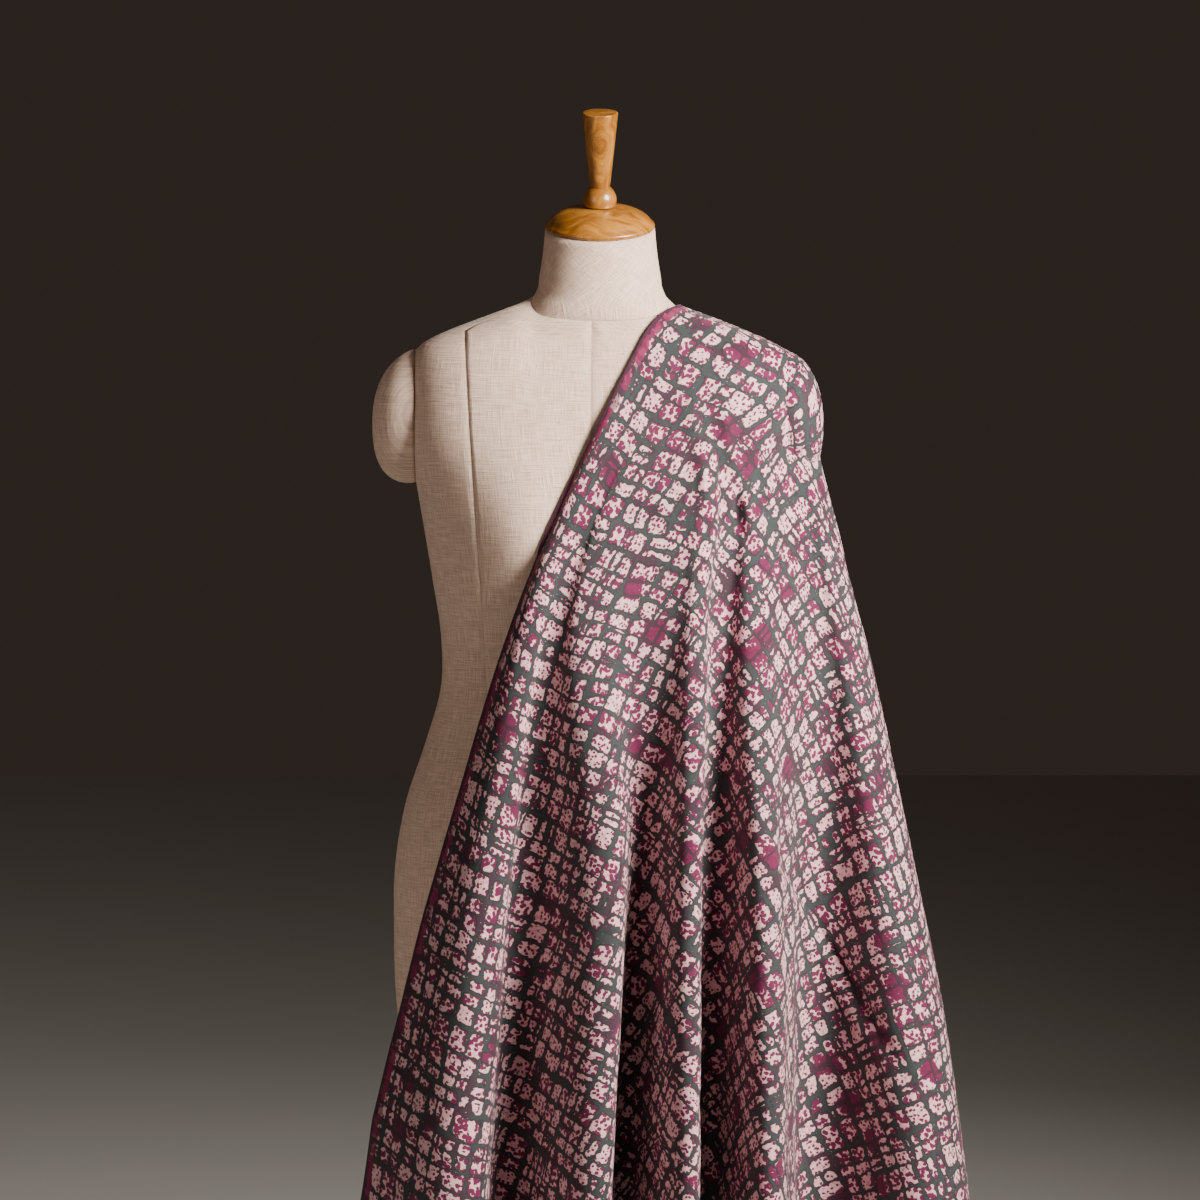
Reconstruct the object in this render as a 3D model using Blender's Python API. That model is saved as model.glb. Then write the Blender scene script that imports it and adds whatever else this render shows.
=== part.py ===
"""A length of batik print cotton draped over one shoulder of a dress form on a plain stand.

Metres, +Z up. The origin is the centre of the base's underside, on the floor. The form faces -Y, and the cloth
hangs from the shoulder at +X. The cloth is a flat rectangle laid over the shoulder with one selvedge at the neck.
From the shoulder line its front and back fan out through half a turn between them, and that fullness falls in
folds.
"""
import math
from collections import namedtuple

import bpy
import numpy as np

# ---- Driving sizes -------------------------------------------------------------------------------------------
SEAT_GAP = 0.0003            # clearance kept between two solids that touch

# Cloth
CLOTH_WIDTH = 1.12           # selvedge to selvedge, as woven
CLOTH_LENGTH = 2.10          # cut end to cut end, half of it in front
CLOTH_THICK = 0.002
CLOTH_CLEAR = 0.0052         # middle of the cloth to the form: over 2 mm of air under the flat facets
ARM_CLEAR = 0.0085           # and to the arm cap, which curves more
NECK_END = (0.077, 1.4951)   # shoulder line, X and Z where the selvedge crosses it by the neck
MIDDLE = (0.140, 1.4720)     # shoulder line half way out
ARM_END = (0.192, 1.4535)    # shoulder line at the top of the arm cap
SHOULDER_DOWN = 0.06         # distance down the cloth at which it has rolled over the shoulder
SHOULDER_OUT = 0.058         # and how far in front or behind it is by then, beside the neck
STATIONS = (0.0, SHOULDER_DOWN, 0.3, 0.6, 0.9)   # distances down the cloth where the folds are placed
SPREAD_PAST_LOW = 0.6        # below the last station the folds go on spreading at this share of their rate
TIP_ROUNDNESS = 1.8          # 1 for folds like waves, more for rounder tips and steeper flanks
ROLL_OVER_NECK = 0.046       # cloth used up in rolling over the shoulder, beside the neck
ROLL_OVER_ARM = 0.012        # and at the arm cap
ROLL_SOFTNESS = 0.012
FALL_SELVEDGE = 0.93         # drop in height for each metre of cloth, along the front selvedge
FALL_MIDDLE = 0.965
FALL_SIDE = 0.975
PUSH_ROUNDS = 4              # times that a point inside the form is moved towards its outline
FRONT_TURN = math.radians(80)        # how far the front fans out between the shoulder line's end and the side line
BACK_TURN = math.pi - FRONT_TURN
HEM_SEARCH = (0.80, 1.60)    # the cloth ends between these distances down
HEM_STEPS = 80
COLUMNS = 52                 # mesh columns from the selvedge to the side line, front and back alike
ROWS = 19
ROW_CROWDING = 1.45          # above 1, rows crowd towards the shoulder

# Form
NECK_TOP = 1.5700            # height where the neck's axis meets its top face
NECK_TILT = math.radians(15)         # the top of the neck leans forward
TILT_START = 1.500           # the neck's sections are level up to here
TORSO_BOTTOM = 0.72
ARM_PLANE = 0.1830           # the flat armhole faces stand at +X and -X this far out
SHOULDER_LIFT = 0.0075       # the bare shoulder stands this much higher than the one that the cloth presses down
LIFT_FROM_MIDDLE = (0.060, 0.085)    # distance out towards -X over which the lift grows, beside the neck
LIFT_FROM_BELOW = (1.38, 1.44)       # and heights over which it grows
ARMHOLE_FOOT = 1.30          # they end at this height, above the bust's side
BUST_OUT = 0.020
BUST_SIDE = 0.082
BUST_HEIGHT = 1.262
BUST_WIDE = 0.050
BUST_TALL = 0.062
TORSO_AROUND = 40
RING_GAP = 0.045             # levels of the torso further apart than this get one more ring between them

# Arm caps: a dome on each armhole
ARM_CAP_MIDDLE = 1.3845      # height of the middle of its flat face
ARM_CAP_DEEP = 0.0520        # half the width of the flat face
BARE_CAP_TALL = 0.0665       # half the height of the flat face of the cap at -X
BARE_CAP_OUT = 0.0435        # how far that cap stands out
DRAPED_CAP_TALL = 0.0600     # and the same for the cap at +X, which the cloth presses in and down
DRAPED_CAP_OUT = 0.0350
ARM_CAP_SAG = 0.010          # the dome's crown sits this much lower than its flat face
ARM_CAP_FULLNESS = 0.8       # below 1, the dome keeps more of its size as it rises
ARM_CAP_SQUARENESS = 2.3     # power of the rounded box that the cloth is kept out of
ARM_CAP_CORE = 0.2           # cloth found deeper in that box than this share of its size is pushed out less far
ARM_CAP_AROUND = 28
ARM_CAP_STEPS = 6

# Turned wood
LID_RADIUS = 0.0545
LID_RIM = 0.0060             # height of the lid's rounded rim
LID_DOME = 0.0170            # rise of its dome above the rim
LID_FLAT = 0.0120            # radius of the flat seat on its crown
LID_SIDES = 32
BALL_RADIUS = 0.0165         # of the finial's ball, which is a little flattened
BALL_MIDDLE = 0.0105         # height of its middle above the lid's crown
BALL_UP = 0.0125
BALL_FOOT = 0.0110           # radius of its flat foot on the lid
WAIST_RISE = 0.002           # from the ball's last ring to the handle
WAIST_RADIUS = 0.0105        # of the finial's handle, where it leaves the ball
TOP_RADIUS = 0.0178
HANDLE_LENGTH = 0.071
HANDLE_FLARE = 1.35          # above 1, the handle widens faster towards its top
HANDLE_STEPS = 6
TOP_EDGE = 0.0013            # bevel round the handle's flat top
FINIAL_SIDES = 22

# Stand
POLE_RADIUS = 0.016
FOOT_RADIUS = 0.030          # of the collar at the pole's foot
FOOT_HEIGHT = 0.012
FOOT_TAPER = 0.024           # height over which the collar narrows to the pole
FLANGE_RADIUS = 0.055
FLANGE_THICK = 0.010
POLE_SIDES = 24
BASE_RADIUS = 0.200
BASE_THICK = 0.022
BASE_EDGE = 0.008            # radius of the base's rounded edge

# One row for each level of the torso. squareness is the power of the section's rounded outline, 2 for an ellipse.
Level = namedtuple("Level", "height half_width front back squareness")
TORSO_LEVELS = (
    Level(0.720, 0.196, 0.112, 0.112, 2.3),
    Level(0.800, 0.205, 0.121, 0.126, 2.3),
    Level(0.870, 0.207, 0.126, 0.136, 2.3),
    Level(0.940, 0.205, 0.125, 0.136, 2.3),
    Level(1.000, 0.194, 0.119, 0.124, 2.3),
    Level(1.060, 0.174, 0.109, 0.102, 2.2),
    Level(1.115, 0.159, 0.101, 0.088, 2.2),
    Level(1.165, 0.159, 0.103, 0.088, 2.2),
    Level(1.220, 0.167, 0.112, 0.096, 2.3),
    Level(1.270, 0.175, 0.118, 0.104, 2.4),
    Level(1.318, 0.183, 0.116, 0.109, 2.6),
    Level(1.360, 0.189, 0.108, 0.111, 3.0),
    Level(1.400, 0.190, 0.099, 0.108, 3.0),
    Level(1.428, 0.188, 0.089, 0.099, 2.8),
    Level(1.446, 0.181, 0.081, 0.090, 2.5),
    Level(1.458, 0.160, 0.076, 0.084, 2.3),
    Level(1.468, 0.135, 0.072, 0.078, 2.2),
    Level(1.478, 0.108, 0.069, 0.072, 2.1),
    Level(1.488, 0.083, 0.066, 0.066, 2.0),
    Level(1.502, 0.066, 0.062, 0.061, 2.0),
    Level(1.525, 0.060, 0.057, 0.057, 2.0),
    Level(1.548, 0.0565, 0.054, 0.054, 2.0),
    Level(1.5700, 0.0545, 0.0525, 0.0525, 2.0),
)

# One row for each fold line, from the selvedge to the side. share is where the line leaves the shoulder, 0 at the
# neck and 1 at the arm. x and y are given at the stations 0.3, 0.6 and 0.9 m down the cloth, below the shoulder.
Fold = namedtuple("Fold", "kind share x_bust x_hip x_low y_bust y_hip y_low")
SIDE = Fold("side", 1.00, 0.259, 0.315, 0.352, 0.030, 0.032, 0.040)
FRONT_FOLDS = (
    Fold("selvedge", 0.000, -0.059, -0.150, -0.222, -0.138, -0.128, -0.130),
    Fold("ridge", 0.110, -0.046, -0.094, -0.118, -0.147, -0.168, -0.215),
    Fold("valley", 0.180, -0.028, -0.066, -0.090, -0.143, -0.134, -0.128),
    Fold("ridge", 0.260, -0.003, 0.006, -0.005, -0.152, -0.196, -0.236),
    Fold("valley", 0.345, 0.059, 0.040, 0.022, -0.143, -0.134, -0.128),
    Fold("ridge", 0.425, 0.098, 0.086, 0.083, -0.150, -0.200, -0.246),
    Fold("lip", 0.460, 0.106, 0.097, 0.096, -0.141, -0.188, -0.228),
    Fold("under", 0.500, 0.109, 0.094, 0.090, -0.128, -0.156, -0.172),
    Fold("valley", 0.555, 0.121, 0.109, 0.106, -0.117, -0.117, -0.102),
    Fold("ridge", 0.645, 0.153, 0.161, 0.165, -0.125, -0.180, -0.226),
    Fold("flank", 0.710, 0.178, 0.183, 0.189, -0.100, -0.132, -0.150),
    Fold("valley", 0.780, 0.207, 0.212, 0.215, -0.072, -0.076, -0.074),
    Fold("ridge", 0.880, 0.247, 0.301, 0.340, -0.054, -0.102, -0.132),
    Fold("flank", 0.940, 0.261, 0.326, 0.373, -0.012, -0.032, -0.044),
    SIDE,
)
BACK_FOLDS = (
    Fold("selvedge", 0.000, 0.004, -0.098, -0.155, 0.112, 0.142, 0.150),
    Fold("ridge", 0.085, 0.018, -0.072, -0.118, 0.121, 0.182, 0.236),
    Fold("valley", 0.170, 0.034, -0.038, -0.075, 0.113, 0.140, 0.120),
    Fold("ridge", 0.255, 0.052, -0.004, -0.030, 0.126, 0.200, 0.256),
    Fold("valley", 0.345, 0.071, 0.030, 0.008, 0.113, 0.139, 0.116),
    Fold("ridge", 0.435, 0.090, 0.064, 0.048, 0.126, 0.204, 0.262),
    Fold("valley", 0.525, 0.110, 0.098, 0.090, 0.110, 0.134, 0.108),
    Fold("ridge", 0.615, 0.131, 0.134, 0.136, 0.120, 0.196, 0.262),
    Fold("valley", 0.700, 0.153, 0.168, 0.178, 0.098, 0.122, 0.104),
    Fold("ridge", 0.785, 0.176, 0.204, 0.222, 0.108, 0.172, 0.240),
    Fold("valley", 0.865, 0.200, 0.238, 0.262, 0.078, 0.100, 0.100),
    Fold("ridge", 0.940, 0.242, 0.300, 0.334, 0.058, 0.086, 0.132),
    SIDE,
)


# ---- Smooth curves through short tables ----------------------------------------------------------------------
def slopes(knots, values):
    """The slope at each knot of a smooth curve: the mean of its two spans' slopes, each weighted by the other."""
    knots = np.asarray(knots, float)
    values = np.asarray(values, float)
    spans = np.diff(knots)
    rises = np.diff(values, axis=0)
    rates = rises / spans.reshape((-1,) + (1,) * (values.ndim - 1))
    inner = []
    for i in range(1, len(knots) - 1):
        before, after = spans[i - 1], spans[i]
        inner.append((rates[i - 1] * after + rates[i] * before) / (before + after))
    return np.array([rates[0], *inner, rates[-1]])


def smooth(knots, values, at, speeds=None):
    """The smooth curve through the knots at one place. Past the last knot it runs straight on, less steeply.

    speeds, one for each knot, make the curve turn more roundly there where they are above 1.
    """
    values = np.asarray(values, float)
    rates = slopes(knots, values)
    if speeds is not None:
        rates = rates * np.reshape(speeds, (-1, 1))
    if at >= knots[-1]:
        return values[-1] + rates[-1] * (at - knots[-1]) * SPREAD_PAST_LOW
    i = max(0, int(np.searchsorted(knots, at, side="right")) - 1)
    span = knots[i + 1] - knots[i]
    t = (at - knots[i]) / span
    start = values[i] * (1 + 2 * t) * (1 - t) ** 2 + rates[i] * span * t * (1 - t) ** 2
    end = values[i + 1] * (3 - 2 * t) * t**2 + rates[i + 1] * span * t**2 * (t - 1)
    return start + end


# ---- Form ----------------------------------------------------------------------------------------------------
LEVEL_HEIGHTS = [level.height for level in TORSO_LEVELS]
LEVEL_SIZES = [level[1:] for level in TORSO_LEVELS]


def torso_level(height):
    """half_width, front, back and squareness of the torso at a height."""
    height = min(max(height, LEVEL_HEIGHTS[0]), LEVEL_HEIGHTS[-1])
    return smooth(LEVEL_HEIGHTS, LEVEL_SIZES, height)


def bust(x, height):
    """How far the bust stands out at a place on the front."""
    across = (abs(x) - BUST_SIDE) / BUST_WIDE
    along = (height - BUST_HEIGHT) / BUST_TALL
    return BUST_OUT * math.exp(-(across**2) - along**2)


def eased(value, limits):
    """0 below the first limit, 1 above the second, and smooth between them."""
    share = min(max((value - limits[0]) / (limits[1] - limits[0]), 0.0), 1.0)
    return share * share * (3 - 2 * share)


def torso_point(height, angle):
    """A point of the torso's surface. The angle runs from +X through the back."""
    half_width, front, back, squareness = torso_level(height)
    c, s = math.cos(angle), math.sin(angle)
    x = half_width * math.copysign(abs(c) ** (2 / squareness), c)
    y = (back if s > 0 else front) * math.copysign(abs(s) ** (2 / squareness), s)
    if height > ARMHOLE_FOOT:
        x = min(max(x, -ARM_PLANE), ARM_PLANE)
    if s < 0:
        y -= bust(x, height) * abs(s)
    lean = NECK_TILT * min(max((height - TILT_START) / (NECK_TOP - TILT_START), 0.0), 1.0)
    lift = SHOULDER_LIFT * eased(-x, LIFT_FROM_MIDDLE) * eased(height, LIFT_FROM_BELOW)
    return (x, y, height + y * math.tan(lean) + lift)


def ring_heights():
    """Heights of the torso's rings: the table's levels, with one more between levels that stand far apart."""
    heights = []
    for low, high in zip(LEVEL_HEIGHTS, LEVEL_HEIGHTS[1:]):
        parts = 2 if high - low > RING_GAP else 1
        heights += [low + (high - low) * k / parts for k in range(parts)]
    return heights + [LEVEL_HEIGHTS[-1]]


def make_torso():
    rings = []
    for height in ring_heights():
        angles = [2 * math.pi * k / TORSO_AROUND for k in range(TORSO_AROUND)]
        rings.append([torso_point(height, angle) for angle in angles])
    return closed_loft("form_torso", rings)


def make_arm_cap(name, side):
    """A dome whose flat face stands a seat's gap off the armhole. side is 1 at +X and -1 at -X."""
    start = ARM_PLANE + SEAT_GAP
    tall, stands_out = (DRAPED_CAP_TALL, DRAPED_CAP_OUT) if side > 0 else (BARE_CAP_TALL, BARE_CAP_OUT)
    rings = []
    for k in range(ARM_CAP_STEPS):
        turn = math.pi / 2 * k / ARM_CAP_STEPS
        size = math.cos(turn) ** ARM_CAP_FULLNESS
        out = start + stands_out * math.sin(turn)
        sag = ARM_CAP_SAG * math.sin(turn)
        ring = []
        for j in range(ARM_CAP_AROUND):
            angle = side * 2 * math.pi * j / ARM_CAP_AROUND
            y = ARM_CAP_DEEP * size * math.cos(angle)
            z = ARM_CAP_MIDDLE - sag + tall * size * math.sin(angle)
            ring.append((side * out, y, z))
        rings.append(ring)
    crown = (side * (start + stands_out), 0.0, ARM_CAP_MIDDLE - ARM_CAP_SAG)
    return closed_loft(name, rings, end_point=crown)


# ---- Cloth ---------------------------------------------------------------------------------------------------
def shoulder_point(share):
    """The shoulder line that the cloth rolls over, from the neck (0) to the arm cap (1)."""
    x = smooth((0.0, 0.5, 1.0), (NECK_END[0], MIDDLE[0], ARM_END[0]), share)
    z = smooth((0.0, 0.5, 1.0), (NECK_END[1], MIDDLE[1], ARM_END[1]), share)
    return float(x), float(z)


def shoulder_length():
    steps = np.array([shoulder_point(k / 20) for k in range(21)])
    return float(np.linalg.norm(np.diff(steps, axis=0), axis=1).sum())


RIDGE = shoulder_length()


def height_at(share, down):
    """Height of the cloth at a distance down from the shoulder line, after its soft roll over the shoulder."""
    roll = ROLL_OVER_NECK + (ROLL_OVER_ARM - ROLL_OVER_NECK) * share
    past = ROLL_SOFTNESS * math.log1p(math.exp((down - roll) / ROLL_SOFTNESS))
    fall = smooth((0.0, 0.5, 1.0), (FALL_SELVEDGE, FALL_MIDDLE, FALL_SIDE), share)
    return shoulder_point(share)[1] - float(fall) * past


def clear_of_torso(x, y, height):
    """x and y moved off the torso's side, square to its section's outline, with the cloth's clearance."""
    half_width, front, back, squareness = torso_level(height - CLOTH_CLEAR)
    half_width += CLOTH_CLEAR
    deep = CLOTH_CLEAR + (back if y > 0 else front + bust(x, height))
    for _ in range(PUSH_ROUNDS):
        part_x, part_y = abs(x) / half_width, abs(y) / deep
        far = (part_x**squareness + part_y**squareness) ** (1 / squareness)
        if far >= 1:
            break
        out_x = part_x ** (squareness - 1) / half_width * math.copysign(1, x)
        out_y = part_y ** (squareness - 1) / deep * math.copysign(1, y)
        step = (1 - far) * far ** (squareness - 1) / (out_x**2 + out_y**2)
        x, y = x + out_x * step, y + out_y * step
    return x, y


def clear_of_arm_cap(point):
    """The point moved off the arm cap at +X, with the cloth's clearance."""
    x, y, z = point
    across = (x - ARM_PLANE) / (DRAPED_CAP_OUT + ARM_CLEAR)
    deep = y / (ARM_CAP_DEEP + ARM_CLEAR)
    tall = (z - ARM_CAP_MIDDLE + ARM_CAP_SAG * max(across, 0.0)) / (DRAPED_CAP_TALL + ARM_CLEAR)
    power = ARM_CAP_SQUARENESS
    far = (abs(across) ** power + abs(deep) ** power + abs(tall) ** power) ** (1 / power)
    if across <= 0 or far >= 1:
        return point
    middle = np.array((ARM_PLANE, 0.0, ARM_CAP_MIDDLE))
    return middle + (np.array(point) - middle) / max(far, ARM_CAP_CORE)


def fold_knots(folds, down):
    """The fold lines' points at a distance down the cloth."""
    knots = []
    facing = -1 if folds is FRONT_FOLDS else 1
    for fold in folds:
        x_top, _ = shoulder_point(fold.share)
        x_near = x_top + (fold.x_bust - x_top) * SHOULDER_DOWN / STATIONS[2]
        y_near = facing * SHOULDER_OUT * (1 - fold.share**3)
        x = smooth(STATIONS, (x_top, x_near, fold.x_bust, fold.x_hip, fold.x_low), down)
        y = smooth(STATIONS, (0.0, y_near, fold.y_bust, fold.y_hip, fold.y_low), down)
        knots.append((float(x), float(y), height_at(fold.share, down)))
    return np.array(knots)


def cloth_point(folds, share, down):
    """A point of the cloth's middle surface: share across the shoulder, and distance down from it."""
    if down <= 0:
        x, z = shoulder_point(share)
        return np.array((x, 0.0, z))
    speeds = [TIP_ROUNDNESS if fold.kind in ("ridge", "valley") else 1.0 for fold in folds]
    x, y, z = smooth([fold.share for fold in folds], fold_knots(folds, down), share, speeds)
    x, y = clear_of_torso(x, y, z)
    return np.array(clear_of_arm_cap((x, y, z)))


def flat_place(folds, share_of_row, down):
    """Where a point lies in the flat cloth: distance along the selvedge, and distance in from it.

    The cloth at one distance down is a strip parallel to the shoulder line, then an arc about its arm end.
    """
    turn_to_side = FRONT_TURN if folds is FRONT_FOLDS else BACK_TURN
    across = share_of_row * (RIDGE + down * turn_to_side)
    if across <= RIDGE:
        return down, across
    turn = (across - RIDGE) / down
    return down * math.cos(turn), RIDGE + down * math.sin(turn)


def row_shares(folds, down):
    """For each mesh column, the share of the row's own length that lies between it and the selvedge."""
    row = np.array([cloth_point(folds, k / COLUMNS, down) for k in range(COLUMNS + 1)])
    lengths = np.linalg.norm(np.diff(row, axis=0), axis=1)
    return np.concatenate(([0.0], np.cumsum(lengths))) / lengths.sum()


def hem_distances(folds):
    """For each mesh column, the distance down at which the flat cloth ends."""
    hem = np.full(COLUMNS + 1, HEM_SEARCH[1])
    before, past_before = HEM_SEARCH[0], None
    for down in np.linspace(*HEM_SEARCH, HEM_STEPS + 1):
        past = []
        for share in row_shares(folds, down):
            along, across = flat_place(folds, share, down)
            past.append(max(along - CLOTH_LENGTH / 2, across - CLOTH_WIDTH))
        for column in range(COLUMNS + 1):
            if past[column] > 0 and hem[column] == HEM_SEARCH[1]:
                part = past_before[column] / (past_before[column] - past[column])
                hem[column] = before + (down - before) * part
        before, past_before = down, past
    return hem


def cloth_half(folds):
    """Rows of points from the shoulder line to the hem, each from the selvedge to the side line."""
    hem = hem_distances(folds)
    rows = []
    for j in range(ROWS + 1):
        part = (j / ROWS) ** ROW_CROWDING
        rows.append([cloth_point(folds, k / COLUMNS, part * hem[k]) for k in range(COLUMNS + 1)])
    return rows


def make_fabric():
    """The middle surface, front and back joined along the shoulder line and the side line, made thick."""
    front = cloth_half(FRONT_FOLDS)
    back = cloth_half(BACK_FOLDS)
    points = []
    index = {}

    def place(half, row, column):
        """Number of a grid point. The two halves share the shoulder line and the side line."""
        if row == 0 or column == COLUMNS:
            half = 0
        key = (half, row, column)
        if key not in index:
            index[key] = len(points)
            points.append((front, back)[half][row][column])
        return index[key]

    faces = []
    for half in (0, 1):
        for row in range(ROWS):
            for column in range(COLUMNS):
                quad = [
                    place(half, row, column),
                    place(half, row + 1, column),
                    place(half, row + 1, column + 1),
                    place(half, row, column + 1),
                ]
                faces.append(quad if half == 0 else quad[::-1])
    fabric = new_object("fabric", points, faces)
    thicken = fabric.modifiers.new("Thickness", "SOLIDIFY")
    thicken.thickness = CLOTH_THICK
    thicken.offset = 0.0
    return fabric


# ---- Turned pieces and meshes --------------------------------------------------------------------------------
def new_object(name, points, faces):
    mesh = bpy.data.meshes.new(name)
    mesh.from_pydata([tuple(map(float, point)) for point in points], [], faces)
    mesh.validate()
    mesh.shade_smooth()
    piece = bpy.data.objects.new(name, mesh)
    bpy.context.collection.objects.link(piece)
    return piece


def closed_loft(name, rings, end_point=None):
    """A closed body through rings of equal count. The ends are flat, or the last one closes on a point."""
    count = len(rings[0])
    points = [point for ring in rings for point in ring]
    faces = [list(range(count))[::-1]]
    for k in range(len(rings) - 1):
        for j in range(count):
            after = (j + 1) % count
            low, high = k * count, (k + 1) * count
            faces.append([low + j, low + after, high + after, high + j])
    last = (len(rings) - 1) * count
    if end_point is None:
        faces.append([last + j for j in range(count)])
    else:
        points.append(end_point)
        faces += [[last + j, last + (j + 1) % count, len(points) - 1] for j in range(count)]
    return new_object(name, points, faces)


def turned(name, outline, steps):
    """A turned piece. The outline gives radius and height from its underside to its top, both faces flat."""
    rings = []
    for radius, height in outline:
        ring = []
        for j in range(steps):
            angle = 2 * math.pi * j / steps
            ring.append((radius * math.cos(angle), radius * math.sin(angle), height))
        rings.append(ring)
    return closed_loft(name, rings)


def arc(middle_radius, middle_height, size_out, size_up, start, end, steps):
    """Outline points along an arc, from one angle to another in degrees, 0 pointing outwards."""
    points = []
    for k in range(steps + 1):
        angle = math.radians(start + (end - start) * k / steps)
        points.append((middle_radius + size_out * math.cos(angle), middle_height + size_up * math.sin(angle)))
    return points


def on_neck(piece, up):
    """Puts a turned piece on the neck's leaning axis, its zero height this far above the neck's top face."""
    piece.rotation_euler = (NECK_TILT, 0.0, 0.0)
    piece.location = (0.0, -up * math.sin(NECK_TILT), NECK_TOP + up * math.cos(NECK_TILT))
    return piece


def make_neck_cap():
    round_rim = LID_RIM / 2
    rim = arc(LID_RADIUS - round_rim, round_rim, round_rim, round_rim, -90, 60, 5)
    dome = arc(0.0, 1.5 * round_rim, LID_RADIUS - round_rim, LID_DOME + round_rim / 2, 12, 76, 7)
    outline = rim + dome + [(LID_FLAT, LID_RIM + LID_DOME)]
    return on_neck(turned("neck_cap", outline, LID_SIDES), SEAT_GAP)


def make_finial():
    """A ball on the lid, and above it a flared handle with a flat top."""
    outline = [(BALL_FOOT, 0.0)] + arc(0.0, BALL_MIDDLE, BALL_RADIUS, BALL_UP, -42, 45, 8)
    start = outline[-1][1] + WAIST_RISE
    for k in range(1, HANDLE_STEPS + 1):
        part = k / HANDLE_STEPS
        radius = WAIST_RADIUS + (TOP_RADIUS - WAIST_RADIUS) * part**HANDLE_FLARE
        outline.append((radius, start + HANDLE_LENGTH * part))
    outline.append((TOP_RADIUS - TOP_EDGE, start + HANDLE_LENGTH + TOP_EDGE))
    return on_neck(turned("finial", outline, FINIAL_SIDES), 2 * SEAT_GAP + LID_RIM + LID_DOME)


def make_pole():
    """The pole, with a collar at its foot and a round flange under the form."""
    foot = BASE_THICK + SEAT_GAP
    top = TORSO_BOTTOM - SEAT_GAP
    under_flange = top - FLANGE_THICK
    outline = [
        (FOOT_RADIUS, foot),
        (FOOT_RADIUS, foot + FOOT_HEIGHT),
        (POLE_RADIUS, foot + FOOT_HEIGHT + FOOT_TAPER),
        (POLE_RADIUS, under_flange - FLANGE_THICK),
        (FLANGE_RADIUS, under_flange),
        (FLANGE_RADIUS, top),
    ]
    return turned("pole", outline, POLE_SIDES)


def make_base():
    edge = arc(BASE_RADIUS - BASE_EDGE, BASE_THICK / 2, BASE_EDGE, BASE_EDGE, -60, 60, 4)
    outline = [(BASE_RADIUS - BASE_EDGE / 2, 0.0)] + edge
    outline += [(BASE_RADIUS - FOOT_RADIUS, BASE_THICK - 0.001), (FOOT_RADIUS + 0.020, BASE_THICK)]
    return turned("base", outline, 44)


# ---- Materials -----------------------------------------------------------------------------------------------
def coat(piece, name, colour, roughness, metallic=0.0):
    material = bpy.data.materials.get(name) or bpy.data.materials.new(name)
    material.use_nodes = True
    shader = material.node_tree.nodes["Principled BSDF"]
    shader.inputs["Base Color"].default_value = (*colour, 1.0)
    shader.inputs["Roughness"].default_value = roughness
    shader.inputs["Metallic"].default_value = metallic
    piece.data.materials.append(material)


BATIK_GREY_PINK = (0.42, 0.30, 0.32)
LINEN_CREAM = (0.62, 0.53, 0.43)
HONEY_WOOD = (0.47, 0.24, 0.09)
DARK_STEEL = (0.05, 0.05, 0.05)


def main():
    for piece in list(bpy.data.objects):
        bpy.data.objects.remove(piece)
    coat(make_fabric(), "batik_cotton", BATIK_GREY_PINK, 0.85)
    coat(make_torso(), "linen_cover", LINEN_CREAM, 0.90)
    coat(make_arm_cap("arm_cap_left", -1), "linen_cover", LINEN_CREAM, 0.90)
    coat(make_arm_cap("arm_cap_right", 1), "linen_cover", LINEN_CREAM, 0.90)
    coat(make_neck_cap(), "varnished_wood", HONEY_WOOD, 0.30)
    coat(make_finial(), "varnished_wood", HONEY_WOOD, 0.30)
    coat(make_pole(), "painted_steel", DARK_STEEL, 0.45, 0.6)
    coat(make_base(), "painted_steel", DARK_STEEL, 0.45, 0.6)


main()
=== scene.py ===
"""The looks of a batik print cotton cloth draped over a dress form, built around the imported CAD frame.

Metres, +Z up, in the frame's own space: the origin is under the base, and the form faces -Y. The cloth is a
flat rectangle laid over the shoulder at +X, one selvedge at the neck. Its mesh carries its flat layout, in
metres, as its UV map, so that the print turns and stretches with the cloth.
"""

import math
from collections import namedtuple

import bpy
import numpy as np
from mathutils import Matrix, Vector, noise


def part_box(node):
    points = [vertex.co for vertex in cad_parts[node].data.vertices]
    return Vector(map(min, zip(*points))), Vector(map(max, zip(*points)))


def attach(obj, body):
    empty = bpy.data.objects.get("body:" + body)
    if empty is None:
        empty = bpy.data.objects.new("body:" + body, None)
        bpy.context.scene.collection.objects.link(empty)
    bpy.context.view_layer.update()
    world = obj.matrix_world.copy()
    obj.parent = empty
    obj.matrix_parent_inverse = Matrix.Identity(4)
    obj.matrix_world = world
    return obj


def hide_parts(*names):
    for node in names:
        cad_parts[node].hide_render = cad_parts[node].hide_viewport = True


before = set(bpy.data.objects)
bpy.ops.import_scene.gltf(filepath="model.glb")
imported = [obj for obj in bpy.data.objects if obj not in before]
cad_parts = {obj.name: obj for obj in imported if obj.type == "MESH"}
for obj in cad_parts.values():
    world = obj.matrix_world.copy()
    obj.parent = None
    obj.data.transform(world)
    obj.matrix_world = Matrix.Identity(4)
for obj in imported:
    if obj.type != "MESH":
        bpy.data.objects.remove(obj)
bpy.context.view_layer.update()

# ---- Sizes ----
SEAT_GAP = 0.0003  # air between two solids that touch, as in the frame

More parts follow.
